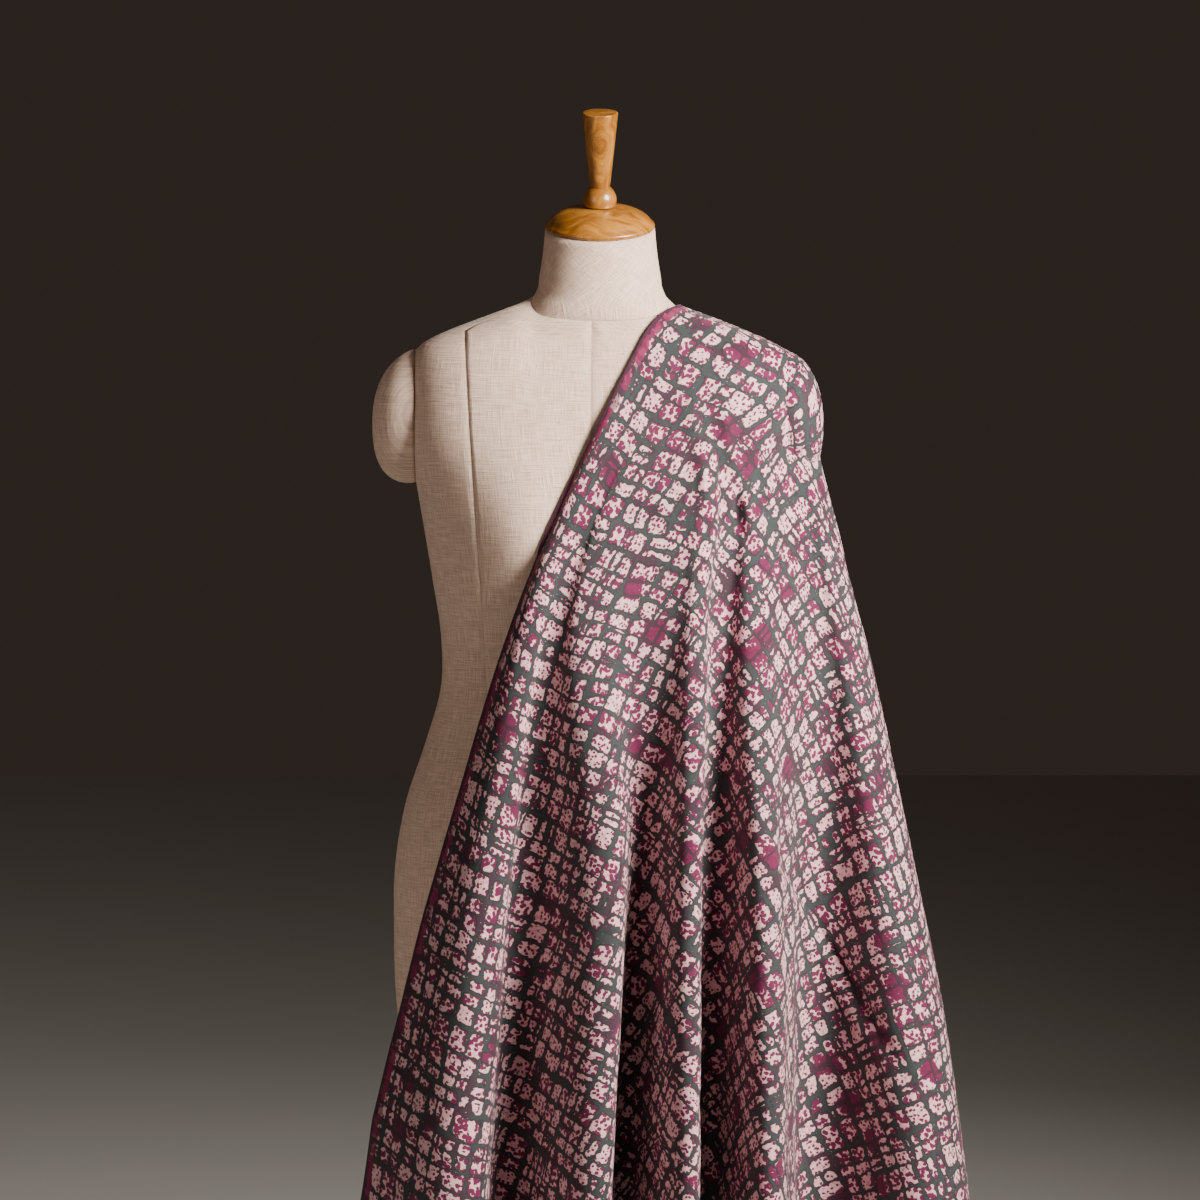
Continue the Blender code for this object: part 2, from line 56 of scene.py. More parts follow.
# Cloth
CLOTH_WIDTH = 1.12  # selvedge to selvedge, as woven
CLOTH_LENGTH = 2.10  # cut end to cut end, half of it in front
CLOTH_THICK = 0.0007
CLOTH_CLEAR = 0.0030  # middle of the cloth to the form's cover
ARM_CLEAR = 0.0042  # and to the arm cap
SHARES = (0.0, 0.5, 1.0)  # across the shoulder: the selvedge by the neck, half way, and the arm cap
SHOULDER_LINE = ((0.077, 1.4951), (0.140, 1.4720), (0.192, 1.4497))  # X and Z at these shares
FALL = (0.930, 0.965, 0.975)  # and the drop in height for each metre of cloth
SHOULDER_DOWN = 0.06  # distance down at which the cloth has rolled over the shoulder
SHOULDER_OUT = 0.058  # how far in front or behind it is by then, beside the neck
SHOULDER_FADE = 3  # power by which that dies away towards the arm
STATIONS = (0.0, SHOULDER_DOWN, 0.3, 0.6, 0.9)  # distances down at which the folds are placed
SPREAD_PAST_LOW = 0.6  # share of the folds' spreading that goes on below the last station
TIP_ROUNDNESS = 1.8  # 1 for folds like waves, more for rounder tips and steeper flanks
TIPS_START = 0.10  # distance down by which the tips are as round as that
ROLL_OVER_NECK = 0.046  # cloth used up in the roll over the shoulder, beside the neck
ROLL_OVER_ARM = 0.012  # and at the arm cap
ROLL_SOFTNESS = 0.012
FRONT_TURN = math.radians(80)  # angle over which the front fans out at the arm
BACK_TURN = math.pi - FRONT_TURN
SKEW = math.radians(13)  # the cloth lies this much askew on the shoulder, beside the neck
SKEW_REACH = 0.20  # distance in from the selvedge over which that dies away
COLUMNS = 168  # of the mesh, from the selvedge to the side line
ROWS = 128
ROW_CROWDING = 1.15  # above 1, rows crowd towards the shoulder
SEARCH = np.linspace(0.0, 1.6, 161)  # distances down at which the hem is looked for
PUSH_ROUNDS = 4  # in which a point is moved off the torso, each a little better
STILL_ROWS = 12  # creases and ripples grow over this many rows from the shoulder
STILL_COLUMNS = 10  # and this many columns from the side line
CREASE_TAPER = 0.6  # below 1, a crease keeps its depth nearer to its ends
# Unevenness: its height, its waves for each metre across and along, and its layer of the noise.
RIPPLES = ((0.0024, 9, 5, 0.5), (0.0009, 34, 16, 3.5))

# Form
NECK_TOP = 1.5700  # height where the neck's axis meets its top face
NECK_TILT = math.radians(15)  # the top of the neck leans forward
TILT_START = 1.500  # the neck's sections are level up to here
ARM_PLANE = 0.1830  # how far out the flat armhole faces stand, at +X and -X
SHOULDER_LIFT = 0.0075  # the bare shoulder stands this much higher than the draped one
LIFT_FROM_MIDDLE = (0.060, 0.085)  # distances out towards -X over which the lift grows
LIFT_FROM_BELOW = (1.38, 1.44)  # and heights over which it grows
ARMHOLE_FOOT = 1.30
BUST_OUT = 0.017
BUST_SIDE = 0.082
BUST_HEIGHT = 1.262
BUST_WIDE = 0.050
BUST_TALL = 0.070
SEAM_HALF = 0.0010  # half the width of a sewn seam's groove in the cover
SEAM_DEEP = 0.0008
SEAM_HEIGHTS = (0.95, 1.22, 1.47)  # hip, bust and neck, where the seams' places are given
SEAM_RADIUS = 0.15  # the torso's, for turning a seam's width into an angle
SEAM_FURTHEST = 0.90  # a seam on the front or back keeps inside this share of the half width
NECK_SEAM = 1.503  # height of the seam round the foot of the neck, at the sides
NECK_SEAM_DIP = 0.024  # it runs this much lower in front and higher behind
NECK_SEAM_DEEP = 0.0013
NECK_SEAM_REACH = 0.030  # mesh rings follow its slope over about this height
NECK_BIAS = np.array(((0.707, -0.707), (0.707, 0.707)))  # the neck's cover is cut at 45 degrees
SEAM_SHADE = 0.40  # how much darker the painted shade makes a seam's groove than the cover
RING_STEP = 0.007  # height between two mesh rings
RING_ROOM = 0.004  # no plain ring comes this close to the neck's seam
PANEL_STEPS = 18  # mesh columns in a panel between two upright seams

# Arm caps
ARM_CAP_MIDDLE = 1.3845
ARM_CAP_DEEP = 0.0520  # half the width of the flat face
BARE_CAP = (0.0665, 0.0435)  # half the height of the cap at -X, and how far it stands out
DRAPED_CAP = (0.0600, 0.0350)  # and at +X, where the cloth presses the cap in and down
ARM_CAP_SAG = 0.010  # the dome's crown sits this much lower than its flat face
ARM_CAP_FULLNESS = 0.8  # below 1, the dome keeps more of its size as it rises
ARM_CAP_SQUARENESS = 2.3  # power of the rounded box that the cloth is kept out of
ARM_CAP_CORE = 0.2  # points nearer its middle than this share of it move as if they lay there
ARM_CAP_AROUND = 72
ARM_CAP_STEPS = 22

# Turned wood, and the stand
SHARP_FROM = math.radians(38)  # edges sharper than this stay crisp
LID_RADIUS = 0.0545
LID_RIM = 0.0060
LID_DOME = 0.0170
LID_FLAT = 0.0120
LID_SHOULDER = 0.0030  # the dome starts this far in from the rim
BALL_RADIUS = 0.0165
BALL_FOOT = 0.0150
BALL_MIDDLE = 0.0055  # height of the ball's middle above the lid
BALL_CUT = (-19, 54)  # angles at which the ball is cut off, below and above
WAIST_RADIUS = 0.0098  # where the handle leaves the ball
WAIST_RISE = 0.0005
HANDLE_TOP = 0.0178
HANDLE_LENGTH = 0.0735
HANDLE_FLARE = 0.95  # 1 for an even cone
HANDLE_STEPS = 18
TOP_EDGE = (0.0020, 0.0012)  # width and height of the top edge's rounding
TORSO_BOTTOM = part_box("form_torso")[0][2]
BASE_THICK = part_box("base")[1][2]
BASE_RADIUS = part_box("base")[1][0]
POLE_RADIUS = 0.016
FOOT_RADIUS = 0.030  # of the collar at the pole's foot
FOOT_HEIGHT = 0.012
FOOT_TAPER = 0.024  # height over which it narrows to the pole
FLANGE_RADIUS = 0.055
FLANGE_THICK = 0.010
FLANGE_EDGE = 0.001
BASE_EDGE = 0.008  # rounding of the base's rim
BASE_RIM_MIDDLE = 0.010  # height of that rounding's middle
BASE_BEND = (0.030, 0.004)  # middle of the bend from top to rim: in from the edge, and below the top
BASE_BEND_SIZE = (0.020, 0.003)  # its width and height
BASE_TOP = 0.050  # radius of its level middle

# One row for each level of the torso. squareness is the power of its rounded outline, 2 for an ellipse.
Level = namedtuple("Level", "height half_width front back squareness")
TORSO_LEVELS = [Level(*row) for row in (
    (0.720, 0.196, 0.112, 0.112, 2.3),
    (0.800, 0.205, 0.121, 0.126, 2.3),
    (0.870, 0.207, 0.126, 0.136, 2.3),
    (0.940, 0.205, 0.125, 0.136, 2.3),
    (1.000, 0.194, 0.119, 0.124, 2.3),
    (1.060, 0.174, 0.109, 0.102, 2.2),
    (1.115, 0.159, 0.101, 0.088, 2.2),
    (1.165, 0.159, 0.103, 0.088, 2.2),
    (1.220, 0.167, 0.112, 0.096, 2.3),
    (1.270, 0.175, 0.118, 0.104, 2.4),
    (1.318, 0.183, 0.116, 0.109, 2.6),
    (1.360, 0.189, 0.108, 0.111, 3.0),
    (1.400, 0.190, 0.099, 0.108, 3.0),
    (1.428, 0.188, 0.089, 0.099, 2.8),
    (1.446, 0.181, 0.081, 0.090, 2.5),
    (1.458, 0.160, 0.076, 0.084, 2.3),
    (1.468, 0.135, 0.072, 0.078, 2.2),
    (1.478, 0.108, 0.069, 0.072, 2.1),
    (1.488, 0.083, 0.066, 0.066, 2.0),
    (1.502, 0.066, 0.062, 0.061, 2.0),
    (1.525, 0.060, 0.057, 0.057, 2.0),
    (1.548, 0.0565, 0.054, 0.054, 2.0),
    (1.5700, 0.0545, 0.0525, 0.0525, 2.0),
)]

# One row for each fold line, from the selvedge to the side. share is where the line leaves the shoulder, 0 at
# the neck and 1 at the arm. x and y are given at the stations 0.3, 0.6 and 0.9 m down the cloth.
Fold = namedtuple("Fold", "kind share x_bust x_hip x_low y_bust y_hip y_low")
SIDE = ("side", 1.00, 0.259, 0.315, 0.352, 0.030, 0.032, 0.040)
FRONT_FOLDS = [Fold(*row) for row in (
    ("selvedge", 0.000, -0.059, -0.150, -0.222, -0.128, -0.126, -0.130),
    ("ridge", 0.110, -0.046, -0.094, -0.118, -0.147, -0.168, -0.215),
    ("valley", 0.180, -0.028, -0.066, -0.090, -0.143, -0.134, -0.128),
    ("ridge", 0.260, -0.003, 0.006, -0.005, -0.152, -0.196, -0.236),
    ("valley", 0.345, 0.059, 0.040, 0.022, -0.143, -0.134, -0.128),
    ("ridge", 0.425, 0.098, 0.086, 0.083, -0.150, -0.200, -0.246),
    ("lip", 0.460, 0.106, 0.097, 0.096, -0.141, -0.188, -0.228),
    ("under", 0.500, 0.109, 0.094, 0.090, -0.128, -0.156, -0.172),
    ("valley", 0.555, 0.121, 0.109, 0.106, -0.117, -0.117, -0.102),
    ("ridge", 0.645, 0.153, 0.161, 0.165, -0.125, -0.180, -0.226),
    ("flank", 0.710, 0.178, 0.183, 0.189, -0.100, -0.132, -0.150),
    ("valley", 0.780, 0.207, 0.212, 0.215, -0.072, -0.076, -0.074),
    ("ridge", 0.880, 0.247, 0.301, 0.340, -0.054, -0.102, -0.132),
    ("flank", 0.940, 0.261, 0.326, 0.373, -0.012, -0.032, -0.044),
    SIDE,
)]
BACK_FOLDS = [Fold(*row) for row in (
    ("selvedge", 0.000, 0.004, -0.098, -0.155, 0.112, 0.142, 0.150),
    ("ridge", 0.085, 0.018, -0.072, -0.118, 0.121, 0.182, 0.236),
    ("valley", 0.170, 0.034, -0.038, -0.075, 0.113, 0.140, 0.120),
    ("ridge", 0.255, 0.052, -0.004, -0.030, 0.126, 0.200, 0.256),
    ("valley", 0.345, 0.071, 0.030, 0.008, 0.113, 0.139, 0.116),
    ("ridge", 0.435, 0.090, 0.064, 0.048, 0.126, 0.204, 0.262),
    ("valley", 0.525, 0.110, 0.098, 0.090, 0.110, 0.134, 0.108),
    ("ridge", 0.615, 0.131, 0.134, 0.136, 0.120, 0.196, 0.262),
    ("valley", 0.700, 0.153, 0.168, 0.178, 0.098, 0.122, 0.104),
    ("ridge", 0.785, 0.176, 0.204, 0.222, 0.108, 0.172, 0.240),
    ("valley", 0.865, 0.200, 0.238, 0.262, 0.078, 0.100, 0.100),
    ("ridge", 0.940, 0.242, 0.300, 0.334, 0.058, 0.086, 0.132),
    SIDE,
)]

# One row for each small crease on the front: its path in X and Z, how wide it is, and how deep it lies.
# A negative depth stands proud.
Crease = namedtuple("Crease", "path wide deep")
CREASES = (
    Crease(((0.098, 1.425), (0.108, 1.380), (0.120, 1.330), (0.134, 1.285), (0.150, 1.250)), 0.0060, 0.0036),
    Crease(((0.118, 1.405), (0.126, 1.350), (0.143, 1.300), (0.158, 1.262)), 0.0050, -0.0035),
    Crease(((0.084, 1.400), (0.096, 1.350), (0.106, 1.300), (0.114, 1.250)), 0.0060, -0.0030),
    Crease(((0.146, 1.370), (0.158, 1.320), (0.168, 1.270)), 0.0050, 0.0028),
    Crease(((0.010, 1.300), (0.030, 1.285), (0.060, 1.290)), 0.0150, 0.0050),
    Crease(((0.172, 0.990), (0.186, 0.943), (0.212, 0.890), (0.240, 0.844), (0.262, 0.803), (0.285, 0.765),
            (0.310, 0.725)), 0.0050, 0.0062),
    Crease(((0.158, 0.990), (0.172, 0.943), (0.199, 0.886), (0.228, 0.838), (0.250, 0.798), (0.274, 0.758)),
           0.0070, -0.0045),
)


# ---- Smooth curves through short tables ----
def slopes(knots, values):
    """Slope at each knot of a smooth curve: its two spans' slopes, the shorter span counting for more."""
    spans = np.diff(knots).reshape((-1,) + (1,) * (values.ndim - 1))
    rates = np.diff(values, axis=0) / spans
    inner = (rates[:-1] * spans[1:] + rates[1:] * spans[:-1]) / (spans[:-1] + spans[1:])
    return np.concatenate((rates[:1], inner, rates[-1:]))


def smooth(knots, values, at, speeds=1.0):
    """Smooth curves through the knots, read at many places. Past the last knot they run straight on.

    values has one entry for each knot, or one for each knot and place. speeds above 1 turn more roundly.
    """
    knots, values, at = [np.asarray(given, float) for given in (knots, values, at)]
    if values.ndim == 1:
        values = np.repeat(values[:, None], len(at), axis=1)
    rates = slopes(knots, values) * speeds
    i = np.clip(np.searchsorted(knots, at, side="right") - 1, 0, len(knots) - 2)
    each = np.arange(len(at))
    shape = (-1,) + (1,) * (values.ndim - 2)
    span = (knots[i + 1] - knots[i]).reshape(shape)
    t = (at - knots[i]).reshape(shape) / span
    start = values[i, each] * (1 + 2 * t) * (1 - t) ** 2 + rates[i, each] * span * t * (1 - t) ** 2
    end = values[i + 1, each] * (3 - 2 * t) * t**2 + rates[i + 1, each] * span * t**2 * (t - 1)
    beyond = values[-1] + rates[-1] * (at - knots[-1]).reshape(shape) * SPREAD_PAST_LOW
    return np.where((at > knots[-1]).reshape(shape), beyond, start + end)


def bell(distance, width):
    """1 at no distance, and soon nearly 0 beyond this width."""
    return np.exp(-((distance / width) ** 2))


# ---- Form ----
LEVEL_HEIGHTS = np.array([level.height for level in TORSO_LEVELS])
LEVEL_SIZES = np.array([level[1:] for level in TORSO_LEVELS])


def torso_level(height):
    """half_width, front, back and squareness of the torso at each height."""
    height = np.clip(height, LEVEL_HEIGHTS[0], LEVEL_HEIGHTS[-1])
    values = np.repeat(LEVEL_SIZES[:, None, :], len(height), axis=1)
    return smooth(LEVEL_HEIGHTS, values, height).T


def bust(x, height):
    """How far the bust stands out at a place on the front."""
    return BUST_OUT * bell(np.abs(x) - BUST_SIDE, BUST_WIDE) * bell(height - BUST_HEIGHT, BUST_TALL)


def eased(value, limits):
    """0 below the first limit, 1 above the second, and smooth between them."""
    share = np.clip((value - limits[0]) / (limits[1] - limits[0]), 0.0, 1.0)
    return share * share * (3 - 2 * share)


def torso_points(height, angle):
    """Points of the torso's surface. The angle runs from +X through the back."""
    half_width, front, back, squareness = torso_level(height)
    c, s = np.cos(angle), np.sin(angle)
    x = half_width * np.sign(c) * np.abs(c) ** (2 / squareness)
    y = np.where(s > 0, back, front) * np.sign(s) * np.abs(s) ** (2 / squareness)
    x = np.where(height > ARMHOLE_FOOT, np.clip(x, -ARM_PLANE, ARM_PLANE), x)
    y = y - np.where(s < 0, bust(x, height) * np.abs(s), 0.0)
    lean = NECK_TILT * np.clip((height - TILT_START) / (NECK_TOP - TILT_START), 0.0, 1.0)
    lift = SHOULDER_LIFT * eased(-x, LIFT_FROM_MIDDLE) * eased(height, LIFT_FROM_BELOW)
    return np.stack((x, y, height + y * np.tan(lean) + lift), axis=-1)


# One row for each of the cover's upright seams, in the order of their angles: X on the front or back.
Seam = namedtuple("Seam", "side x_neck x_bust x_hip")
UPRIGHT_SEAMS = (
    Seam("right", 0.0, 0.0, 0.0),
    Seam("back", 0.105, 0.092, 0.085),
    Seam("back", 0.002, 0.002, 0.002),
    Seam("back", -0.105, -0.092, -0.085),
    Seam("left", 0.0, 0.0, 0.0),
    Seam("front", -0.134, -0.117, -0.104),
    Seam("front", -0.008, -0.008, -0.006),
    Seam("front", 0.120, 0.104, 0.096),
)


def seam_angle(seam, height):
    """Angle at which a seam crosses the torso's section at each height."""
    if seam.side == "right":
        return np.zeros(len(height))
    if seam.side == "left":
        return np.full(len(height), math.pi)
    half_width, _, _, squareness = torso_level(height)
    x = np.interp(height, SEAM_HEIGHTS, (seam.x_hip, seam.x_bust, seam.x_neck))
    across = np.clip(np.abs(x) / half_width, 0.0, SEAM_FURTHEST) ** (squareness / 2)
    angle = np.arccos(across * np.sign(x))
    return angle if seam.side == "back" else 2 * math.pi - angle


def torso_columns(height):
    """The angles of the mesh columns at each height, and how deep each column is sewn in.

    A seam has a column of its own and one close on each side. Between seams they are evenly spaced.
    """
    beside = SEAM_HALF / SEAM_RADIUS
    angles, depths = [], []
    seams = [seam_angle(seam, height) for seam in UPRIGHT_SEAMS]
    seams.append(seams[0] + 2 * math.pi)
    for here, after in zip(seams, seams[1:]):
        step = (after - here - 2 * beside) / PANEL_STEPS
        angles += [here - beside, here] + [here + beside + step * j for j in range(PANEL_STEPS)]
        depths += [0.0, SEAM_DEEP] + [0.0] * PANEL_STEPS
    return np.array(angles), np.array(depths)


def panel_places(ring):
    """Distance of each point of a ring from the upright middle of its own panel of the cover."""
    steps = np.linalg.norm(np.diff(ring, axis=0, append=ring[:1]), axis=1)
    along = np.cumsum(steps) - steps
    columns = PANEL_STEPS + 2
    places = np.empty(len(ring))
    for panel in range(len(UPRIGHT_SEAMS)):
        first = panel * columns + 2
        middle = first + PANEL_STEPS // 2
        members = (np.arange(columns) + first) % len(ring)
        wrapped = np.where(members < first, along[members] + steps.sum(), along[members])
        places[members] = wrapped - along[middle] + panel
    return places


def make_torso():
    """The padded form in its sewn cover, with upright seams and a seam round the foot of the neck."""
    low, high = LEVEL_HEIGHTS[0], LEVEL_HEIGHTS[-1]
    plain = np.linspace(low, high, int((high - low) / RING_STEP))
    plain = plain[np.abs(plain - NECK_SEAM) > RING_ROOM]
    close = NECK_SEAM + SEAM_HALF * np.array((-1.0, 0.0, 1.0))
    heights = np.sort(np.concatenate((plain, close)))
    angles, depths = torso_columns(heights)
    rings, maps, seams = [], [], []
    for k, height in enumerate(heights):
        level = height + NECK_SEAM_DIP * np.sin(angles[:, k]) * bell(height - NECK_SEAM, NECK_SEAM_REACH)
        # A ring that dips crosses each seam at another height, so every column is found again at its own.
        points = torso_points(level, torso_columns(level)[0].diagonal())
        inward = depths * (height < NECK_SEAM) + NECK_SEAM_DEEP * (height == NECK_SEAM)
        out = points * (1.0, 1.0, 0.0)
        out /= np.linalg.norm(out, axis=1)[:, None]
        rings.append(points - out * inward[:, None])
        places = np.stack((panel_places(points), level), axis=-1)
        maps.append(places @ NECK_BIAS if height > NECK_SEAM else places)
        seams.append(inward > 0)
    cover = closed_loft("form_cover", rings, maps=maps)
    # The points in the seams' grooves are marked for the cover's painted shade.
    painted_seam_shade = cover.data.attributes.new("painted_seam_shade", "FLOAT", "POINT")
    painted_seam_shade.data.foreach_set("value", np.concatenate(seams).astype(float))
    return cover


def make_arm_cap(name, side):
    """A covered dome whose flat face stands a seat's gap off the armhole. side is 1 at +X and -1 at -X."""
    start = ARM_PLANE + SEAT_GAP
    tall, stands_out = DRAPED_CAP if side > 0 else BARE_CAP
    rings, maps = [], []
    for k in range(ARM_CAP_STEPS):
        turn = math.pi / 2 * k / ARM_CAP_STEPS
        size = math.cos(turn) ** ARM_CAP_FULLNESS
        out = start + stands_out * math.sin(turn)
        angles = side * 2 * math.pi * np.arange(ARM_CAP_AROUND) / ARM_CAP_AROUND
        y = ARM_CAP_DEEP * size * np.cos(angles)
        z = ARM_CAP_MIDDLE - ARM_CAP_SAG * math.sin(turn) + tall * size * np.sin(angles)
        rings.append(np.stack((np.full(ARM_CAP_AROUND, side * out), y, z), axis=-1))
        maps.append(np.stack((y, z), axis=-1))
    crown = (side * (start + stands_out), 0.0, ARM_CAP_MIDDLE - ARM_CAP_SAG)
    return closed_loft(name, rings, end_point=crown, maps=maps)


# ---- Cloth ----
def shoulder_place(share):
    """X and Z of the shoulder line that the cloth rolls over, from the neck (0) to the arm cap (1)."""
    return [smooth(SHARES, values, share) for values in zip(*SHOULDER_LINE)]


# Length of the shoulder line.
RIDGE = float(np.linalg.norm(np.diff(shoulder_place(np.linspace(0, 1, 21))), axis=0).sum())


def height_at(share, down):
    """Height of the cloth at a distance down from the shoulder line, after its roll over the shoulder."""
    roll = ROLL_OVER_NECK + (ROLL_OVER_ARM - ROLL_OVER_NECK) * share
    past = ROLL_SOFTNESS * np.log1p(np.exp((down - roll) / ROLL_SOFTNESS))
    return shoulder_place(share)[1] - smooth(SHARES, FALL, share) * past


def clear_of_torso(x, y, height):
    """x and y moved off the torso's side, square to its section's outline, with the cloth's clearance."""
    half_width, front, back, squareness = torso_level(height - CLOTH_CLEAR)
    half_width = half_width + CLOTH_CLEAR
    deep = CLOTH_CLEAR + np.where(y > 0, back, front + bust(x, height))
    for _ in range(PUSH_ROUNDS):
        part_x, part_y = np.abs(x) / half_width, np.abs(y) / deep
        far = np.maximum((part_x**squareness + part_y**squareness) ** (1 / squareness), 1e-6)
        out_x = part_x ** (squareness - 1) / half_width * np.sign(x)
        out_y = part_y ** (squareness - 1) / deep * np.where(y < 0, -1, 1)
        step = np.maximum(1 - far, 0.0) * far ** (squareness - 1) / np.maximum(out_x**2 + out_y**2, 1e-9)
        x, y = x + out_x * step, y + out_y * step
    return x, y


def clear_of_arm_cap(points):
    """The points moved off the arm cap at +X, with the cloth's clearance."""
    cap_tall, cap_out = DRAPED_CAP
    middle = np.array((ARM_PLANE, 0.0, ARM_CAP_MIDDLE))
    across, deep, tall = (points - middle).T
    across = across / (cap_out + ARM_CLEAR)
    deep = deep / (ARM_CAP_DEEP + ARM_CLEAR)
    tall = (tall + ARM_CAP_SAG * np.maximum(across, 0.0)) / (cap_tall + ARM_CLEAR)
    power = ARM_CAP_SQUARENESS
    far = (np.abs(across) ** power + np.abs(deep) ** power + np.abs(tall) ** power) ** (1 / power)
    grow = np.where((across > 0) & (far < 1), 1 / np.maximum(far, ARM_CAP_CORE), 1.0)
    return middle + (points - middle) * grow[:, None]


def clear_of_form(points):
    """The points moved off the torso and the draped arm cap."""
    x, y = clear_of_torso(*points.T)
    return clear_of_arm_cap(np.stack((x, y, points[:, 2]), axis=-1))


def cloth_points(folds, share, down):
    """Points of the cloth's middle surface: share across the shoulder, and distance down from it."""
    facing = -1 if folds is FRONT_FOLDS else 1
    knots = np.empty((len(folds), len(down), 3))
    for k, fold in enumerate(folds):
        x_top = float(shoulder_place([fold.share])[0][0])
        x_near = x_top + (fold.x_bust - x_top) * SHOULDER_DOWN / STATIONS[2]
        y_near = facing * SHOULDER_OUT * (1 - fold.share**SHOULDER_FADE)
        knots[k, :, 0] = smooth(STATIONS, (x_top, x_near, fold.x_bust, fold.x_hip, fold.x_low), down)
        knots[k, :, 1] = smooth(STATIONS, (0.0, y_near, fold.y_bust, fold.y_hip, fold.y_low), down)
        knots[k, :, 2] = height_at(np.full(len(down), fold.share), down)
    tips = np.array([TIP_ROUNDNESS if fold.kind in ("ridge", "valley") else 1.0 for fold in folds])
    speeds = 1 + (tips[:, None, None] - 1) * np.clip(down / TIPS_START, 0.0, 1.0)[:, None]
    return clear_of_form(smooth([fold.share for fold in folds], knots, share, speeds))


def flat_place(folds, share_of_row, down):
    """Where points lie in the flat cloth: distance along the selvedge, and distance in from it.

    The cloth at one distance down is a strip parallel to the shoulder line, then an arc about its arm end.
    """
    across = share_of_row * (RIDGE + down * (FRONT_TURN if folds is FRONT_FOLDS else BACK_TURN))
    turn = np.maximum(across - RIDGE, 0.0) / np.maximum(down, 1e-6)
    along = down * np.cos(turn)
    return along, np.where(across <= RIDGE, across, RIDGE + down * np.sin(turn))


def cloth_half(folds):
    """Points and flat places of one half, in rows from shoulder to hem, each from selvedge to side."""
    shares = np.linspace(0, 1, COLUMNS + 1)
    grid = cloth_points(folds, np.tile(shares, len(SEARCH)), np.repeat(SEARCH, len(shares)))
    grid = grid.reshape(len(SEARCH), len(shares), 3)
    lengths = np.linalg.norm(np.diff(grid, axis=1), axis=2)
    row_shares = np.cumsum(np.pad(lengths, ((0, 0), (1, 0))), axis=1) / lengths.sum(axis=1)[:, None]
    along, across = flat_place(folds, row_shares, SEARCH[:, None])
    over = np.maximum(along - CLOTH_LENGTH / 2, across - CLOTH_WIDTH)
    part = (np.arange(ROWS + 1) / ROWS) ** ROW_CROWDING
    down = np.empty((ROWS + 1, COLUMNS + 1))
    row_share = np.empty_like(down)
    for column in range(COLUMNS + 1):
        past = int(np.argmax(over[:, column] > 0))
        before, after = over[past - 1, column], over[past, column]
        hem = SEARCH[past - 1] + (SEARCH[past] - SEARCH[past - 1]) * before / (before - after)
        down[:, column] = part * hem
        row_share[:, column] = np.interp(down[:, column], SEARCH, row_shares[:, column])
    points = cloth_points(folds, np.tile(shares, ROWS + 1), down.ravel())
    along, across = flat_place(folds, row_share, down)
    side = 1 if folds is FRONT_FOLDS else -1
    skewed = side * along - math.tan(SKEW) * SKEW_REACH * np.tanh(across / SKEW_REACH)
    return points.reshape(ROWS + 1, COLUMNS + 1, 3), np.stack((across, skewed), axis=-1)


def normals_of(points):
    """Unit normals of a grid of points."""
    across = np.gradient(points, axis=1)
    down = np.gradient(points, axis=0)
    square = np.cross(down, across)
    return square / np.maximum(np.linalg.norm(square, axis=2), 1e-9)[..., None]


def crease_depth(points):
    """How deep the small creases of the front lie at each point."""
    depth = np.zeros(points.shape[:2])
    place = points[..., (0, 2)]
    for crease in CREASES:
        path = np.array(crease.path)
        nearest = np.full(depth.shape, np.inf)
        where = np.zeros(depth.shape)
        spans = len(path) - 1
        for k in range(spans):
            step = path[k + 1] - path[k]
            t = np.clip(((place - path[k]) @ step) / (step @ step), 0, 1)
            distance = np.linalg.norm(place - path[k] - t[..., None] * step, axis=-1)
            closer = distance < nearest
            nearest = np.where(closer, distance, nearest)
            where = np.where(closer, (k + t) / spans, where)
        depth += crease.deep * bell(nearest, crease.wide) * np.sin(math.pi * where) ** CREASE_TAPER
    return depth


def kept_off_form(points):
    """The grid's points, off the form again where a crease or ripple has taken them too near it."""
    below = clear_of_form(points[1:].reshape(-1, 3))
    return np.concatenate((points[:1], below.reshape(points[1:].shape)))


def ripple(flat):
    """Slight unevenness of hanging cotton, from smooth noise in the flat cloth."""
    out = np.zeros(flat.shape[:2])
    for row, column in np.ndindex(out.shape):
        across, along = flat[row, column]
        for height, waves_across, waves_along, layer in RIPPLES:
            place = Vector((across * waves_across, along * waves_along, layer))
            out[row, column] += height * noise.noise(place)
    return out


def make_cloth():
    """The cloth, whose two halves share the shoulder line and the side line."""
    free = np.clip(np.arange(ROWS + 1) / STILL_ROWS, 0, 1)[:, None]
    away = np.clip((COLUMNS - np.arange(COLUMNS + 1)) / STILL_COLUMNS, 0, 1)[None, :]
    halves = []
    for folds in (FRONT_FOLDS, BACK_FOLDS):
        grid, flat = cloth_half(folds)
        uneven = ripple(flat) + (crease_depth(grid) if folds is FRONT_FOLDS else 0.0)
        grid = grid - normals_of(grid) * (uneven * free * away)[..., None]
        halves.append((kept_off_form(grid), flat))
    points, flats, index = [], [], {}

    def place(half, row, column):
        """Number of a grid point."""
        if row == 0 or column == COLUMNS:
            half = 0
        key = (half, row, column)
        if key not in index:
            index[key] = len(points)
            points.append(halves[half][0][row][column])
            flats.append(halves[half][1][row][column])
        return index[key]

    faces = []
    corners = ((0, 0), (1, 0), (1, 1), (0, 1))
    for half in (0, 1):
        for row in range(ROWS):
            for column in range(COLUMNS):
                quad = [place(half, row + down, column + over) for down, over in corners]
                faces.append(quad if half == 0 else quad[::-1])
    cloth = new_object("batik_cloth", points, faces, flats)
    thicken = cloth.modifiers.new("Thickness", "SOLIDIFY")
    thicken.thickness = CLOTH_THICK
    thicken.offset = 0.0
    return cloth


